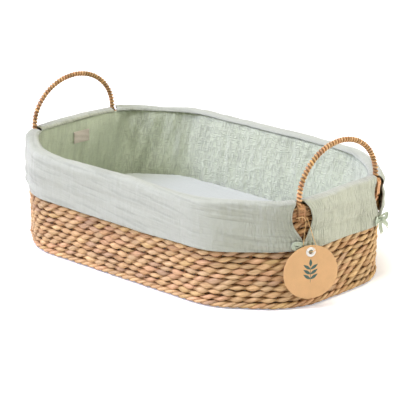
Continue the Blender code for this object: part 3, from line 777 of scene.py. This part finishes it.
def lashing(leg, seed):
    """Flat strands bound over the border at the leg's foot, with a few turns across them."""
    rng = np.random.default_rng(seed)
    (_, _, bottom), (_, _, top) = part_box(leg + "_leg_lashing")
    station = LEG_STATIONS[leg]
    profile = smooth_curve([
        (0.0037, bottom), (0.0038, bottom + 0.012), (0.0036, top - 0.0035),
        (0.0018, top - 0.0014), (-0.006, top - 0.0011), (-0.014, top - 0.0013),
        (-0.0182, top - 0.0034), (-0.0188, top - 0.010), (-0.0188, top - 0.022)], 0.0015)
    strands = Strands()
    for side in BINDING_SIDES:
        lean = rng.uniform(-0.0008, 0.0008)
        spots = []
        for number, (out, z, _) in enumerate(profile):
            plan = plan_at(z)
            where = distance_at(plan, station) + side + lean * math.sin(number * 0.4)
            spots.append(spot(plan, where, out, z))
        centres, outs = map(np.array, zip(*spots))
        across = np.cross(UP, outs)
        tint = strand_tones(1, rng)[0] * LASHING_LIT_AND_SHADED_TONES[leg]
        strands.tube(centres, np.cross(across, tangents(centres)), -across, 0.00105, 0.0030,
                     tint, 0.85, rng.uniform(0, 50))
    for z in LASHING_TURNS:
        plan = plan_at(z)
        side = np.linspace(-LASHING_HALF, LASHING_HALF, 9)
        out = 0.0052 - 0.0022 * (side / LASHING_HALF) ** 4
        rise = rng.uniform(-0.0016, 0.0016) * side / LASHING_HALF
        centres, outward = place(plan, distance_at(plan, station) + side, out, z + rise)
        tint = strand_tones(1, rng)[0] * LASHING_LIT_AND_SHADED_TONES[leg] * rng.uniform(0.8, 1.1)
        strands.tube(centres, outward, UP, 0.0010, 0.0028, tint, 0.9, rng.uniform(0, 50))
    binding = strands.piece(leg + "_lashing_strands", HANDLE)
    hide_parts(leg + "_leg_lashing")


# ---- liner ----

def cloth_grid(name, points, material, thickness, u=None, v=None, closed="", body="root",
               crinkle=0.0):
    """A sheet over rows and columns of points, with flat coordinates and how crinkled it is."""
    if u is None:
        u, v = points[..., 0], points[..., 1]
    cloth = np.stack(np.broadcast_arrays(u, v, crinkle), axis=-1)
    piece = add_piece(name, points.reshape(-1, 3), grid_faces(*points.shape[:2], closed),
                      material, body, cloth=cloth.reshape(-1, 3))
    if thickness:
        thicken(piece, thickness)
    return piece


# The skirt's middle surface from its outer hem, over the rim, to its inner seam:
# out from the weave's face, height, and half of the slit's width at the handle legs
SKIRT_PROFILE = (
    (0.0078, 0.1215, 0.0040), (0.0074, 0.1290, 0.0012), (0.0068, 0.1430, 0.0025),
    (0.0066, 0.1550, 0.0095), (0.0064, 0.1700, 0.0175), (0.0062, 0.1850, 0.0208),
    (0.0058, 0.2000, 0.0190), (0.0050, 0.2110, 0.0140), (0.0028, 0.2165, 0.0105),
    (-0.0030, 0.2194, 0.0085), (-0.0100, 0.2197, 0.0070), (-0.0165, 0.2184, 0.0055),
    (-0.0206, 0.2158, 0.0040), (-0.0216, 0.2128, 0.0025),
)
GATHER_REACH = 0.10
SKIRT_THICKNESS = 0.0014
LINING_INSET = 0.0156
LINING_THICKNESS = 0.0010
LONG_PANEL = 0.5


def skirt(name, first, last, seed, material, crinkle):
    """A panel folded over the rim between two slits, gathered towards its ties."""
    profile = smooth_curve(SKIRT_PROFILE, 0.0028)
    down = lengths_along(profile[:, :2])
    rim = plan_at(0.2)
    width = distance_at(rim, last) - distance_at(rim, first)
    share = np.linspace(0, 1, int(width / 0.0019))
    from_edge = np.minimum(share, 1 - share) * width
    edge_sign = np.where(share < 0.5, 1.0, -1.0)
    pull = np.clip(1 - from_edge / GATHER_REACH, 0, 1) ** 2
    u = share * width + seed
    grid = []
    for (out, z, slit), v in zip(profile, down):
        plan = plan_at(z)
        start, end = distance_at(plan, first), distance_at(plan, last)
        where = start + (end - start) * share + edge_sign * slit * pull
        outside = smooth_step(-0.012, 0.004, out) * smooth_step(0.222, 0.200, z)
        hem = smooth_step(0.165, 0.122, z)
        slack = outside * (1 + 0.9 * smooth_step(0.26, 0.10, from_edge))
        creases = 0.0016 * slack * lattice((u * 10 + v * 12) * 0.6, v * 75 + u * 5, 22)
        creases += 0.0020 * slack * lattice(u * 9 - v * 10, v * 22 + u * 3, 26)
        flutes = 0.0016 * hem * lattice(u * 22, v * 4 + seed, 21)
        crinkles = 0.0005 * lattice(u * 130, v * 22, 23)
        ripple = np.sin(from_edge * 760 + 2 * lattice(v * 30, seed, 24))
        gathers = np.exp(-from_edge / 0.034) * ripple
        gathers = gathers * 0.0017 * outside * (0.5 + 0.5 * smooth_step(0.19, 0.135, z))
        roll = (1 - outside) * smooth_step(0.205, 0.218, z)
        rumple = 0.0011 * roll * lattice(u * 34, v * 30, 27)
        swell = 0.0016 * outside * np.sin(math.pi * smooth_step(0.122, 0.215, z))
        bulge = out + flutes + creases + crinkles + gathers + swell
        tuck = 0.0028 * np.exp(-from_edge / 0.012) * np.exp(-((z - 0.131) / 0.012) ** 2)
        dip = 0.0018 * smooth_step(0.205, 0.219, z) * lattice(u * 11, seed, 28)
        height = z + 0.0016 * hem * lattice(u * 8, seed, 25) + rumple + dip
        points, _ = place(plan, where, bulge - tuck, height)
        reach = 0.06 * smooth_step(0.12, 0.20, z) + 0.11 * smooth_step(0.0040, -0.0060, out)
        if width > LONG_PANEL and reach > 0.01:
            base, _ = place(plan, where, 0.0, z)
            points = points + eased(base, reach) - base
        grid.append(points)
    panel = cloth_grid(name + "_cloth", np.array(grid), material, SKIRT_THICKNESS, share * width,
                       down[:, None], crinkle=crinkle + 0.5 * smooth_step(0.14, 0.04, from_edge))
    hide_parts(name)


def inner_wall():
    """The lightly padded lining of the wall, gathered at the corners, up to the roll's seam."""
    low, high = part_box("liner_inner_wall")
    pad_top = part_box("liner_padding")[1][2]
    floor, top = low[2] + 0.0006, high[2] + 0.0070
    back, front = -0.0158, -0.0212
    profile = smooth_curve([
        (back, floor + 0.004), (back, 0.06), (back, 0.12), (back, pad_top),
        (-0.0192, top - 0.004), (-0.0196, top), (-0.0204, top - 0.002), (front, top - 0.012),
        (front, 0.17), (front, 0.13), (front, 0.09), (front, 0.05), (front, floor + 0.006),
        (-0.0200, floor), (-0.0172, floor + 0.001)], 0.004)
    down = lengths_along(profile)
    round_trip = perimeter(plan_at(0.1))
    columns = int(round_trip / 0.0034)
    share = np.arange(columns) / columns
    u = share * round_trip
    _, facing_angle = walk(plan_at(0.1), u)
    far_side = -np.cos(facing_angle)
    far_corner = np.sin(2 * facing_angle) ** 4 * (far_side > 0)
    loose = 0.35 + smooth_step(0.1, 0.6, far_side) + 0.7 * far_corner
    grid = []
    for out, z, _ in profile:
        plan = plan_at(z)
        front_face = smooth_step(0.0195, 0.021, -out)
        middle = np.sin(math.pi * np.clip((z - 0.075) / 0.138, 0, 1))
        drift = 0.3 * lattice(u * 6, z * 16, 30)
        gathers = 0.0030 * loose * middle * lattice(u * 40 + drift, z * 9 + 5, 31)
        gathers += 0.0010 * lattice(u * 85 + 2 * drift, z * 20, 34)
        crinkles = 0.0005 * lattice(u * 150, z * 60, 32)
        pad = 0.0022 * middle * (0.8 + 0.4 * lattice(u * 5, z * 4, 33))
        inward = front_face * (gathers + crinkles + pad)
        grid.append(place(plan, share * perimeter(plan), out - inward, z)[0])
    wall = cloth_grid("liner_wall_pad", np.array(grid)[::-1], LINING_LIT, 0.0, u, down[::-1, None],
                      closed="both", crinkle=1.10 - 0.60 * loose + 0.9 * far_corner)
    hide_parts("liner_inner_wall", "liner_padding")


def liner_floor():
    """The lining's bottom, under the mattress."""
    low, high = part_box("liner_floor")
    z = (low[2] + high[2]) / 2
    plan = plan_at(z)
    columns, rows = 320, 26
    rim, _ = place(plan, np.arange(columns) / columns * perimeter(plan), -LINING_INSET, z)
    grid = []
    for share in np.linspace(1.0, 0.02, rows):
        ring = rim * (share, share, 1.0)
        ring[:, 2] += 0.0003 * lattice(ring[:, 0] * 60, ring[:, 1] * 60, 41)
        grid.append(ring)
    floor = cloth_grid("liner_floor_cloth", np.array(grid), LINING_LIT, LINING_THICKNESS,
                       closed="columns")
    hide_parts("liner_floor")


# ---- ties ----

# The bow's ribbons as (turns of the broad side, width, route). Routes are in mm: two loops,
# two tails and the knot
BOW_ROUTES = (
    ((0.9, 0.5, 0.2, 0.9), 0.0085,
     [(1, 0, 1), (8, 4, 4), (16, 7, 8), (23, 5, 11), (24, 1, 11), (18, -3, 8), (9, -2, 4),
      (1, 0, 0)]),
    ((0.8, 0.6, 0.3, 0.9), 0.0085,
     [(-1, 0, 1), (-7, 3, 3), (-15, 4, 5), (-21, 1, 6), (-21, -4, 6), (-15, -6, 4), (-7, -3, 2),
      (-1, 0, 0)]),
    ((0.3, 0.1, -0.3), 0.0090, [(1, -1, 1), (8, -5, 5), (16, -11, 9), (24, -18, 12), (30, -25, 13)]),
    ((0.2, 0.4, 0.1), 0.0095, [(0, -1, 1), (1, -8, 3), (3, -17, 3), (6, -26, 4), (9, -33, 5)]),
    ((1.2, 0.9, 1.2), 0.0070,
     [(-4, 3, 1), (-2, 5, 3), (2, 4, 4), (4, 0, 4), (2, -4, 3), (-2, -4, 2), (-4, 0, 1)]),
)
BOW_TAILS = (2, 3)
BOW_HEIGHT = 0.131
BOW_OUT = 0.0072
RIBBON_STEP = 0.0022
RIBBON_THICKNESS = 0.0011
MM = 0.001


def ribbon(points, faces_out, width, crush):
    """Rows of points across a ribbon that follows a route, with its broad side turned."""
    route = smooth_curve(points, RIBBON_STEP)
    turns = np.interp(np.linspace(0, 1, len(route)), np.linspace(0, 1, len(faces_out)), faces_out)
    out, across = route_frames(route, UP)
    broad = across * np.cos(turns)[:, None] + out * np.sin(turns)[:, None]
    normal = unit(np.cross(broad, np.gradient(route, axis=0)))
    steps = np.linspace(-0.5, 0.5, 6)
    wave = crush * np.cos(steps * 2 * math.pi)[None, :, None]
    return route[:, None] + broad[:, None] * (steps * width)[None, :, None] + normal[:, None] * wave


# Twice the radius in mm that the bows bend with, round the corner behind them
BOW_BEND = 240
# Each leg's bow: which way its long loop points along the outline, and how far it stands off
BOWS = (
    ("near_right", -1, 0.12),
    ("near_left", 1, 1.0),
    ("far_left", -1, 1.0),
    ("far_right", 1, 0.15),
)


def tie_bow(leg, mirror, stand_off, seed):
    """Two loops and two tails round a small knot, in the outline's frame at the leg."""
    rng = np.random.default_rng(seed)
    lift = 0.6 + 0.8 * stand_off
    verts, faces, cloth, count, area = [], [], [], 0, 0.0
    for number, (turns, width, points) in enumerate(BOW_ROUTES):
        hand = -mirror if leg == "near_right" and number in BOW_TAILS else mirror
        points = [(hand * x * MM, y * MM + rng.uniform(-0.0006, 0.0006),
                   (lift + z * stand_off - x * x / BOW_BEND) * MM) for x, y, z in points]
        turns = [turn * (0.15 + 0.85 * stand_off) for turn in turns]
        rows = ribbon(points, turns, width, 0.0003 + 0.0008 * stand_off)
        r, c = rows.shape[:2]
        faces.append(grid_faces(r, c) + count)
        verts.append(rows.reshape(-1, 3))
        span = np.arange(r)[:, None] * RIBBON_STEP + count * 0.01
        cloth.append(np.stack(np.broadcast_arrays(
            span, np.arange(c)[None] * width / c, 0.0), -1).reshape(-1, 3))
        count += r * c
        area += width * RIBBON_STEP * (r - 1)
    verts = moved(np.concatenate(verts), facing(LEG_STATIONS[leg], BOW_HEIGHT, BOW_OUT))
    bow = add_piece(leg + "_ribbon_bow", verts, np.concatenate(faces), BOW,
                    cloth=np.concatenate(cloth))
    thicken(bow, RIBBON_THICKNESS)
    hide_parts(leg + "_tie_bow")


# ---- mattress ----

MATTRESS_PLAN = Plan(0.3585, 0.2085, 0.120, 0.236, 0.110)
SWELL_VOXEL = 0.006
SWELL_PRESSURE = 4.0
SWELL_FRAMES = 15
SWELL_CAP = 0.0035


def cushion(name, rows, material):
    """A closed cushion: rings round the side and shrinking rings over top and bottom."""
    columns = int(perimeter(MATTRESS_PLAN) / 0.006)
    distance = np.arange(columns) / columns * perimeter(MATTRESS_PLAN)
    grid = np.array([place(MATTRESS_PLAN, distance, -inset, z)[0] * (keep, keep, 1.0)
                     for inset, z, keep in rows])
    piece = cloth_grid(name, grid, material, 0.0, closed="columns", body=None)
    bm = bmesh.new()
    bm.from_mesh(piece.data)
    bmesh.ops.holes_fill(bm, edges=[e for e in bm.edges if e.is_boundary], sides=0)
    bmesh.ops.recalc_face_normals(bm, faces=bm.faces)
    bm.to_mesh(piece.data)
    bm.free()
    piece.data.shade_smooth()
    return piece


def coordinates(mesh):
    flat = np.empty(len(mesh.vertices) * 3)
    mesh.vertices.foreach_get("co", flat)
    return flat.reshape(-1, 3)


def settled(piece):
    """The piece's mesh with its modifiers applied, which are then removed."""
    graph = bpy.context.evaluated_depsgraph_get()
    mesh = bpy.data.meshes.new_from_object(piece.evaluated_get(graph))
    piece.modifiers.clear()
    return mesh


def swell_by_cloth(piece):
    """Inflates the piece a little as cloth, and keeps each point near its start."""
    remesh = piece.modifiers.new("remesh", "REMESH")
    remesh.mode = "VOXEL"
    remesh.voxel_size = SWELL_VOXEL
    piece.data = settled(piece)
    start = coordinates(piece.data)
    cloth = piece.modifiers.new("swell", "CLOTH")
    cloth.settings.use_pressure = True
    cloth.settings.uniform_pressure_force = SWELL_PRESSURE
    cloth.settings.effector_weights.gravity = 0.0
    cloth.settings.quality = 4
    for number in range(1, SWELL_FRAMES + 1):
        bpy.context.scene.frame_set(number)
    swollen = settled(piece)
    bpy.context.scene.frame_set(1)
    move = coordinates(swollen) - start
    size = np.linalg.norm(move, axis=1, keepdims=True)
    move *= np.minimum(1.0, SWELL_CAP / np.maximum(size, 1e-9))
    swollen.vertices.foreach_set("co", (start + move).ravel())
    piece.data = swollen


def mattress():
    (_, _, bottom), (_, _, top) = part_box("mattress_sheet")
    rows = [
        (0.012, bottom + 0.001, 0.05), (0.012, bottom + 0.001, 0.5),
        (0.012, bottom + 0.001, 0.9), (0.010, bottom + 0.001, 1.0), (0.004, bottom + 0.004, 1.0),
        (0.003, bottom + 0.012, 1.0), (0.003, bottom + 0.028, 1.0), (0.003, top - 0.018, 1.0),
        (0.005, top - 0.009, 1.0), (0.011, top - 0.0035, 1.0), (0.020, top - 0.0015, 1.0),
        (0.03, top, 0.95), (0.03, top + 0.001, 0.5), (0.03, top + 0.001, 0.05)]
    cover = cushion("mattress_cover", rows, SHEET)
    swell_by_cloth(cover)
    mesh = cover.data
    points = coordinates(mesh)
    normals = np.array([v.normal for v in mesh.vertices])
    x, y, z = points.T
    upper = smooth_step(0.5, 0.9, normals[:, 2])
    side = 1 - np.abs(normals[:, 2])
    wrinkles = upper * 0.0007 * lattice(x * 26 + y * 9, y * 22, 51)
    wrinkles += upper * 0.0010 * lattice(x * 7, y * 8, 52)
    wrinkles += side * 0.0007 * lattice((x + y) * 55, z * 30, 53)
    points += normals * wrinkles[:, None]
    mesh.vertices.foreach_set("co", points.ravel())
    set_vectors(mesh, "cloth", np.column_stack([x + 0.4 * z, y + 0.4 * z, np.zeros_like(x)]))
    mesh.materials.clear()
    mesh.materials.append(SHEET)
    mesh.update()
    mesh.shade_smooth()
    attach(cover, "mattress")
    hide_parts("mattress_sheet", "mattress_foam")


# ---- label and hang tag ----

STITCH_TONE = (0.62, 0.60, 0.52)
LABEL_THICKNESS = 0.0009
CARD_HOLE = 0.0061
CARD_HALF = 0.0006
PRINT_OUT = 0.00062
PRINT_THICKNESS = 0.00012


def sewn_label():
    """A folded tape with a stitched edge, left plain."""
    low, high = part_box("sewn_label")
    middle = (np.array(low) + np.array(high)) / 2
    width, height = high[1] - low[1], high[2] - low[2]
    y = np.linspace(-0.5, 0.5, 30)[None] * width
    z = np.linspace(-0.5, 0.5, 18)[:, None] * height
    lift = 0.0012 + 0.0016 * (y / width + 0.5) ** 2 + 0.0004 * np.sin(z * 500 + y * 120)
    points = np.stack(np.broadcast_arrays(middle[0] + 0.0006 + lift, middle[1] + y,
                                          middle[2] + z), axis=-1)
    label = cloth_grid("sewn_label_tape", points, LABEL, LABEL_THICKNESS, y, z)
    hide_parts("sewn_label")
    strands = Strands()
    for edge in (-0.46, 0.46):
        for step in range(7):
            start = middle + (0.0022 + 0.0014 * (edge > 0), edge * width, (step - 3.3) * 0.0036)
            centres = np.array([start, start + (0.0002, 0, 0.0011), start + (0, 0, 0.0022)])
            strands.tube(centres, (1.0, 0.0, 0.0), (0.0, -1.0, 0.0), 0.0003, 0.0003,
                         STITCH_TONE, 1.0, sides=6)
    stitches = strands.piece("sewn_label_stitches", JUTE)


def joint(name):
    return next(j for j in frame["record"]["behaviour"]["joints"] if j["name"] == name)


def tag_frame():
    """The tag's frame: its origin is the eyelet's centre and Z is the turning axis."""
    turning = joint("tag_turn")
    normal = Vector(turning["axis"]).normalized()
    return frame_at(turning["pos_m"], Vector(UP).cross(normal), UP, normal)


def card_curl(x, y):
    """How far the card bends out of its plane."""
    return 0.0009 * (x / 0.055) ** 2 + 0.0006 * (y / 0.055)


def lathe(name, rings, face, material):
    """A closed ring turned from circles of points in the tag's frame."""
    points = moved(np.array(rings), face)
    return cloth_grid(name, points[::-1], material, 0.0, closed="both", body="hang_tag")


def tag_card(face):
    """A disc of card with a hole near its top edge."""
    low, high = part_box("tag_card")
    radius = (high[2] - low[2]) / 2
    drop = face.translation.z - (high[2] + low[2]) / 2
    hole, half = CARD_HOLE, CARD_HALF
    ring = circle(np.linspace(0, 2 * math.pi, 128, endpoint=False))
    profile = [(0.0, half - 0.0002), (0.004, half)] + [(s, half) for s in (0.2, 0.4, 0.6, 0.8)]
    profile += [(0.994, half), (0.9985, half - 0.0001), (1.0, half - 0.0004)]
    grid = []
    for share, out in profile + [(s, -h) for s, h in reversed(profile)]:
        flat = ring * (hole + (radius - hole) * share) + np.array([0.0, -drop * share])
        grid.append(np.column_stack([flat, out + card_curl(flat[:, 0], flat[:, 1])]))
    card = lathe("tag_card_disc", grid, face, CARD)
    card.data.set_sharp_from_angle(angle=math.radians(35))
    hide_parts("tag_card")


def leaf(length, width, lean, foot):
    """The outline of a pointed leaf that leans from its foot."""
    share = np.linspace(0, 1, 9)
    half = width / 2 * np.sin(math.pi * share ** 0.85)
    edge = np.concatenate([
        np.column_stack([-half, share * length]), np.column_stack([half, share * length])[-2:0:-1]])
    turn = np.array([[math.cos(lean), -math.sin(lean)], [math.sin(lean), math.cos(lean)]])
    return edge @ turn.T + foot


def tag_print(face):
    """A plain sprig printed on the card: a stem with pairs of leaves."""
    shapes = [leaf(0.040, 0.0012, 0.0, (0.0, -0.066)), leaf(0.016, 0.0060, 0.0, (0.0, -0.030))]
    for step in range(3):
        foot = (0.0, -0.056 + 0.010 * step)
        shapes += [leaf(0.018, 0.0062, side * 0.95, foot) for side in (-1, 1)]
    verts, faces = [], []
    for shape in shapes:
        start = len(verts)
        faces.append(range(start + len(shape) - 1, start - 1, -1))
        verts += [(x, y, PRINT_OUT + card_curl(x, y)) for x, y in shape.tolist()]
    sprig = add_piece("tag_card_sprig", moved(np.array(verts), face), faces, PRINT, "hang_tag",
                      smooth=False)
    thicken(sprig, PRINT_THICKNESS, -1.0)


def tag_eyelet(face):
    """A rolled metal ring through the card."""
    bore, barrel, flange, half, seat = 0.0046, 0.0058, 0.0098, 0.0016, 0.0009
    upper = [
        (bore, 0.0), (bore, half * 0.45), (bore + 0.0003, half * 0.8), (bore + 0.0009, half),
        (bore + 0.0022, half * 1.05), (flange - 0.0014, half * 0.98),
        (flange - 0.0004, half * 0.85), (flange, seat + 0.0001), (barrel, seat)]
    ring = circle(np.linspace(0, 2 * math.pi, 64, endpoint=False))
    grid = [np.column_stack([r * ring, np.full(len(ring), z)])
            for r, z in upper + [(r, -z) for r, z in reversed(upper[1:])]]
    eyelet = lathe("tag_eyelet_ring", grid, face, EYELET)
    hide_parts("tag_eyelet")
    return eyelet


def tag_cord(face, eyelet):
    """Two twisted plies along the cord's route."""
    route = moved(smooth_curve(CORD_ROUTE, 0.0008), face)
    out, across = route_frames(route, np.array(face)[:3, 0] + 0.3 * UP)
    length = lengths_along(route)
    strands = Strands()
    for ply in range(2):
        angle = length[:, None] / PLY_PITCH * 2 * math.pi + ply * math.pi
        lean = out * np.cos(angle) + across * np.sin(angle)
        strands.tube(route + lean * CORD_DIAMETER * 0.22, out, across, CORD_DIAMETER * 0.32,
                     CORD_DIAMETER * 0.32, CORD_TONE, 1.0)
    cord = strands.piece("tag_cord_jute", JUTE, body=None)
    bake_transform(cord)
    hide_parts("tag_cord", "tag_cord_loop")


# ---- stage ----

def add_camera():
    azimuth, elevation = math.radians(CAMERA_AZIMUTH), math.radians(CAMERA_ELEVATION)
    back = Vector((math.sin(azimuth) * math.cos(elevation),
                   -math.cos(azimuth) * math.cos(elevation), math.sin(elevation)))
    right = Vector((math.cos(azimuth), math.sin(azimuth), 0.0))
    up = back.cross(right)
    aim = Vector((0.0, 0.0, CAMERA_AIM_HEIGHT)) + right * CAMERA_AIM_RIGHT + up * CAMERA_AIM_UP
    data = bpy.data.cameras.new("camera")
    data.lens = CAMERA_LENS
    data.sensor_width = CAMERA_SENSOR
    data.clip_end = 50.0
    camera = bpy.data.objects.new("camera", data)
    camera.matrix_world = frame_at(aim + back * CAMERA_DISTANCE, right, up, back)
    bpy.context.scene.collection.objects.link(camera)
    bpy.context.scene.camera = camera


def add_light(name, kind, place_at, aim, power, colour, **settings):
    """A light that shines from one place towards another."""
    data = bpy.data.lights.new(name, kind)
    data.energy = power
    data.color = colour
    for key, value in settings.items():
        setattr(data, key, value)
    light = bpy.data.objects.new(name, data)
    turn = (Vector(aim) - Vector(place_at)).to_track_quat("-Z", "Y").to_matrix().to_4x4()
    light.matrix_world = Matrix.Translation(place_at) @ turn
    bpy.context.scene.collection.objects.link(light)


def floor_material():
    """White paper that glows a little where the camera sees it, so that shadows stay pale."""
    material, tree = new_material("studio_floor", 0.8, Base_Color=(0.88, 0.87, 0.81, 1.0),
                                  Emission_Color=(0.85, 0.87, 1.0, 1.0))
    ray = add_node(tree, "LightPath", "Is Camera Ray")
    shader = tree.nodes["Principled BSDF"]
    tree.links.new(product(tree, ray, 0.38), shader.inputs["Emission Strength"])
    return material


def studio():
    low = cad_box[0][2]
    bpy.ops.mesh.primitive_plane_add(size=40, location=(0, 0, low - 0.0005))
    floor = bpy.context.object
    floor.name = "studio_floor"
    floor.data.materials.append(floor_material())
    add_world()
    middle = (0.0, 0.0, 0.0)
    add_light("key", "SUN", (-0.70, -0.83, 0.85), middle, 2.15, (1.0, 0.98, 1.50),
              angle=math.radians(28))
    add_light("top", "SUN", (0.05, -0.25, 1.00), middle, 2.2, (1.0, 0.99, 1.0),
              angle=math.radians(25))
    add_light("bounce", "AREA", (1.9, 1.8, 0.25), (0.3, 0.0, 0.12), 50, (1.0, 0.96, 0.92),
              shape="SQUARE", size=1.5)
    bpy.context.scene.view_settings.view_transform = "Standard"


def add_world():
    """A warm white room, darker behind the camera, and pure white where the camera sees it."""
    world = bpy.data.worlds.new("studio")
    bpy.context.scene.world = world
    world.use_nodes = True
    tree = world.node_tree
    room = tree.nodes["Background"]
    room.inputs["Color"].default_value = (1.0, 0.975, 0.77, 1.0)
    toward = add_node(tree, "VectorMath", "Value", operation="DOT_PRODUCT",
                      in_0=add_node(tree, "TexCoord", "Generated"), in_1=(0.81, -0.585, 0.0))
    tree.links.new(mapped(tree, toward, 0.35, 0.95, 0.54, 0.12), room.inputs["Strength"])
    seen = add_node(tree, "Background", "Background", in_Color=(1.0, 1.0, 1.0, 1.0),
                    in_Strength=1.05)
    both = add_node(tree, "MixShader", "Shader", in_2=seen, in_1=room.outputs["Background"],
                    in_0=add_node(tree, "LightPath", "Is Camera Ray"))
    tree.links.new(both, tree.nodes["World Output"].inputs["Surface"])


# ---- the object ----

def main():
    add_camera()
    face = tag_frame()
    tag_card(face)
    tag_print(face)
    tag_cord(face, tag_eyelet(face))
    woven_wall()
    foot_braid()
    rim_border()
    woven_floor()
    for name, material in (("wire_frame", WIRE), ("near_handle_core", SHADED_CANE),
                           ("far_handle_core", SHADED_CANE)):
        frame["nodes"][name].data.materials.clear()
        frame["nodes"][name].data.materials.append(material)
    handle("near", "near_right", "near_left", 15)
    handle("far", "far_right", "far_left", 16)
    inner_wall()
    liner_floor()
    near_right, near_left, far_left, far_right = LEG_STATIONS.values()
    skirt("skirt_near_end", near_right - 16, near_left, 1.0, END_MUSLIN_HALF_LIT, 0.3)
    skirt("skirt_left_side", near_left, far_left, 3.0, SIDE_MUSLIN_SHADED, 0.08)
    skirt("skirt_far_end", far_left, far_right, 6.0, END_MUSLIN_HALF_LIT, 0.3)
    skirt("skirt_right_side", far_right, near_right, 9.0, SIDE_MUSLIN_SHADED, 0.08)
    for number, (leg, mirror, stand_off) in enumerate(BOWS):
        lashing(leg, 60 + number)
        tie_bow(leg, mirror, stand_off, 70 + number)
    mattress()
    sewn_label()
    studio()


main()
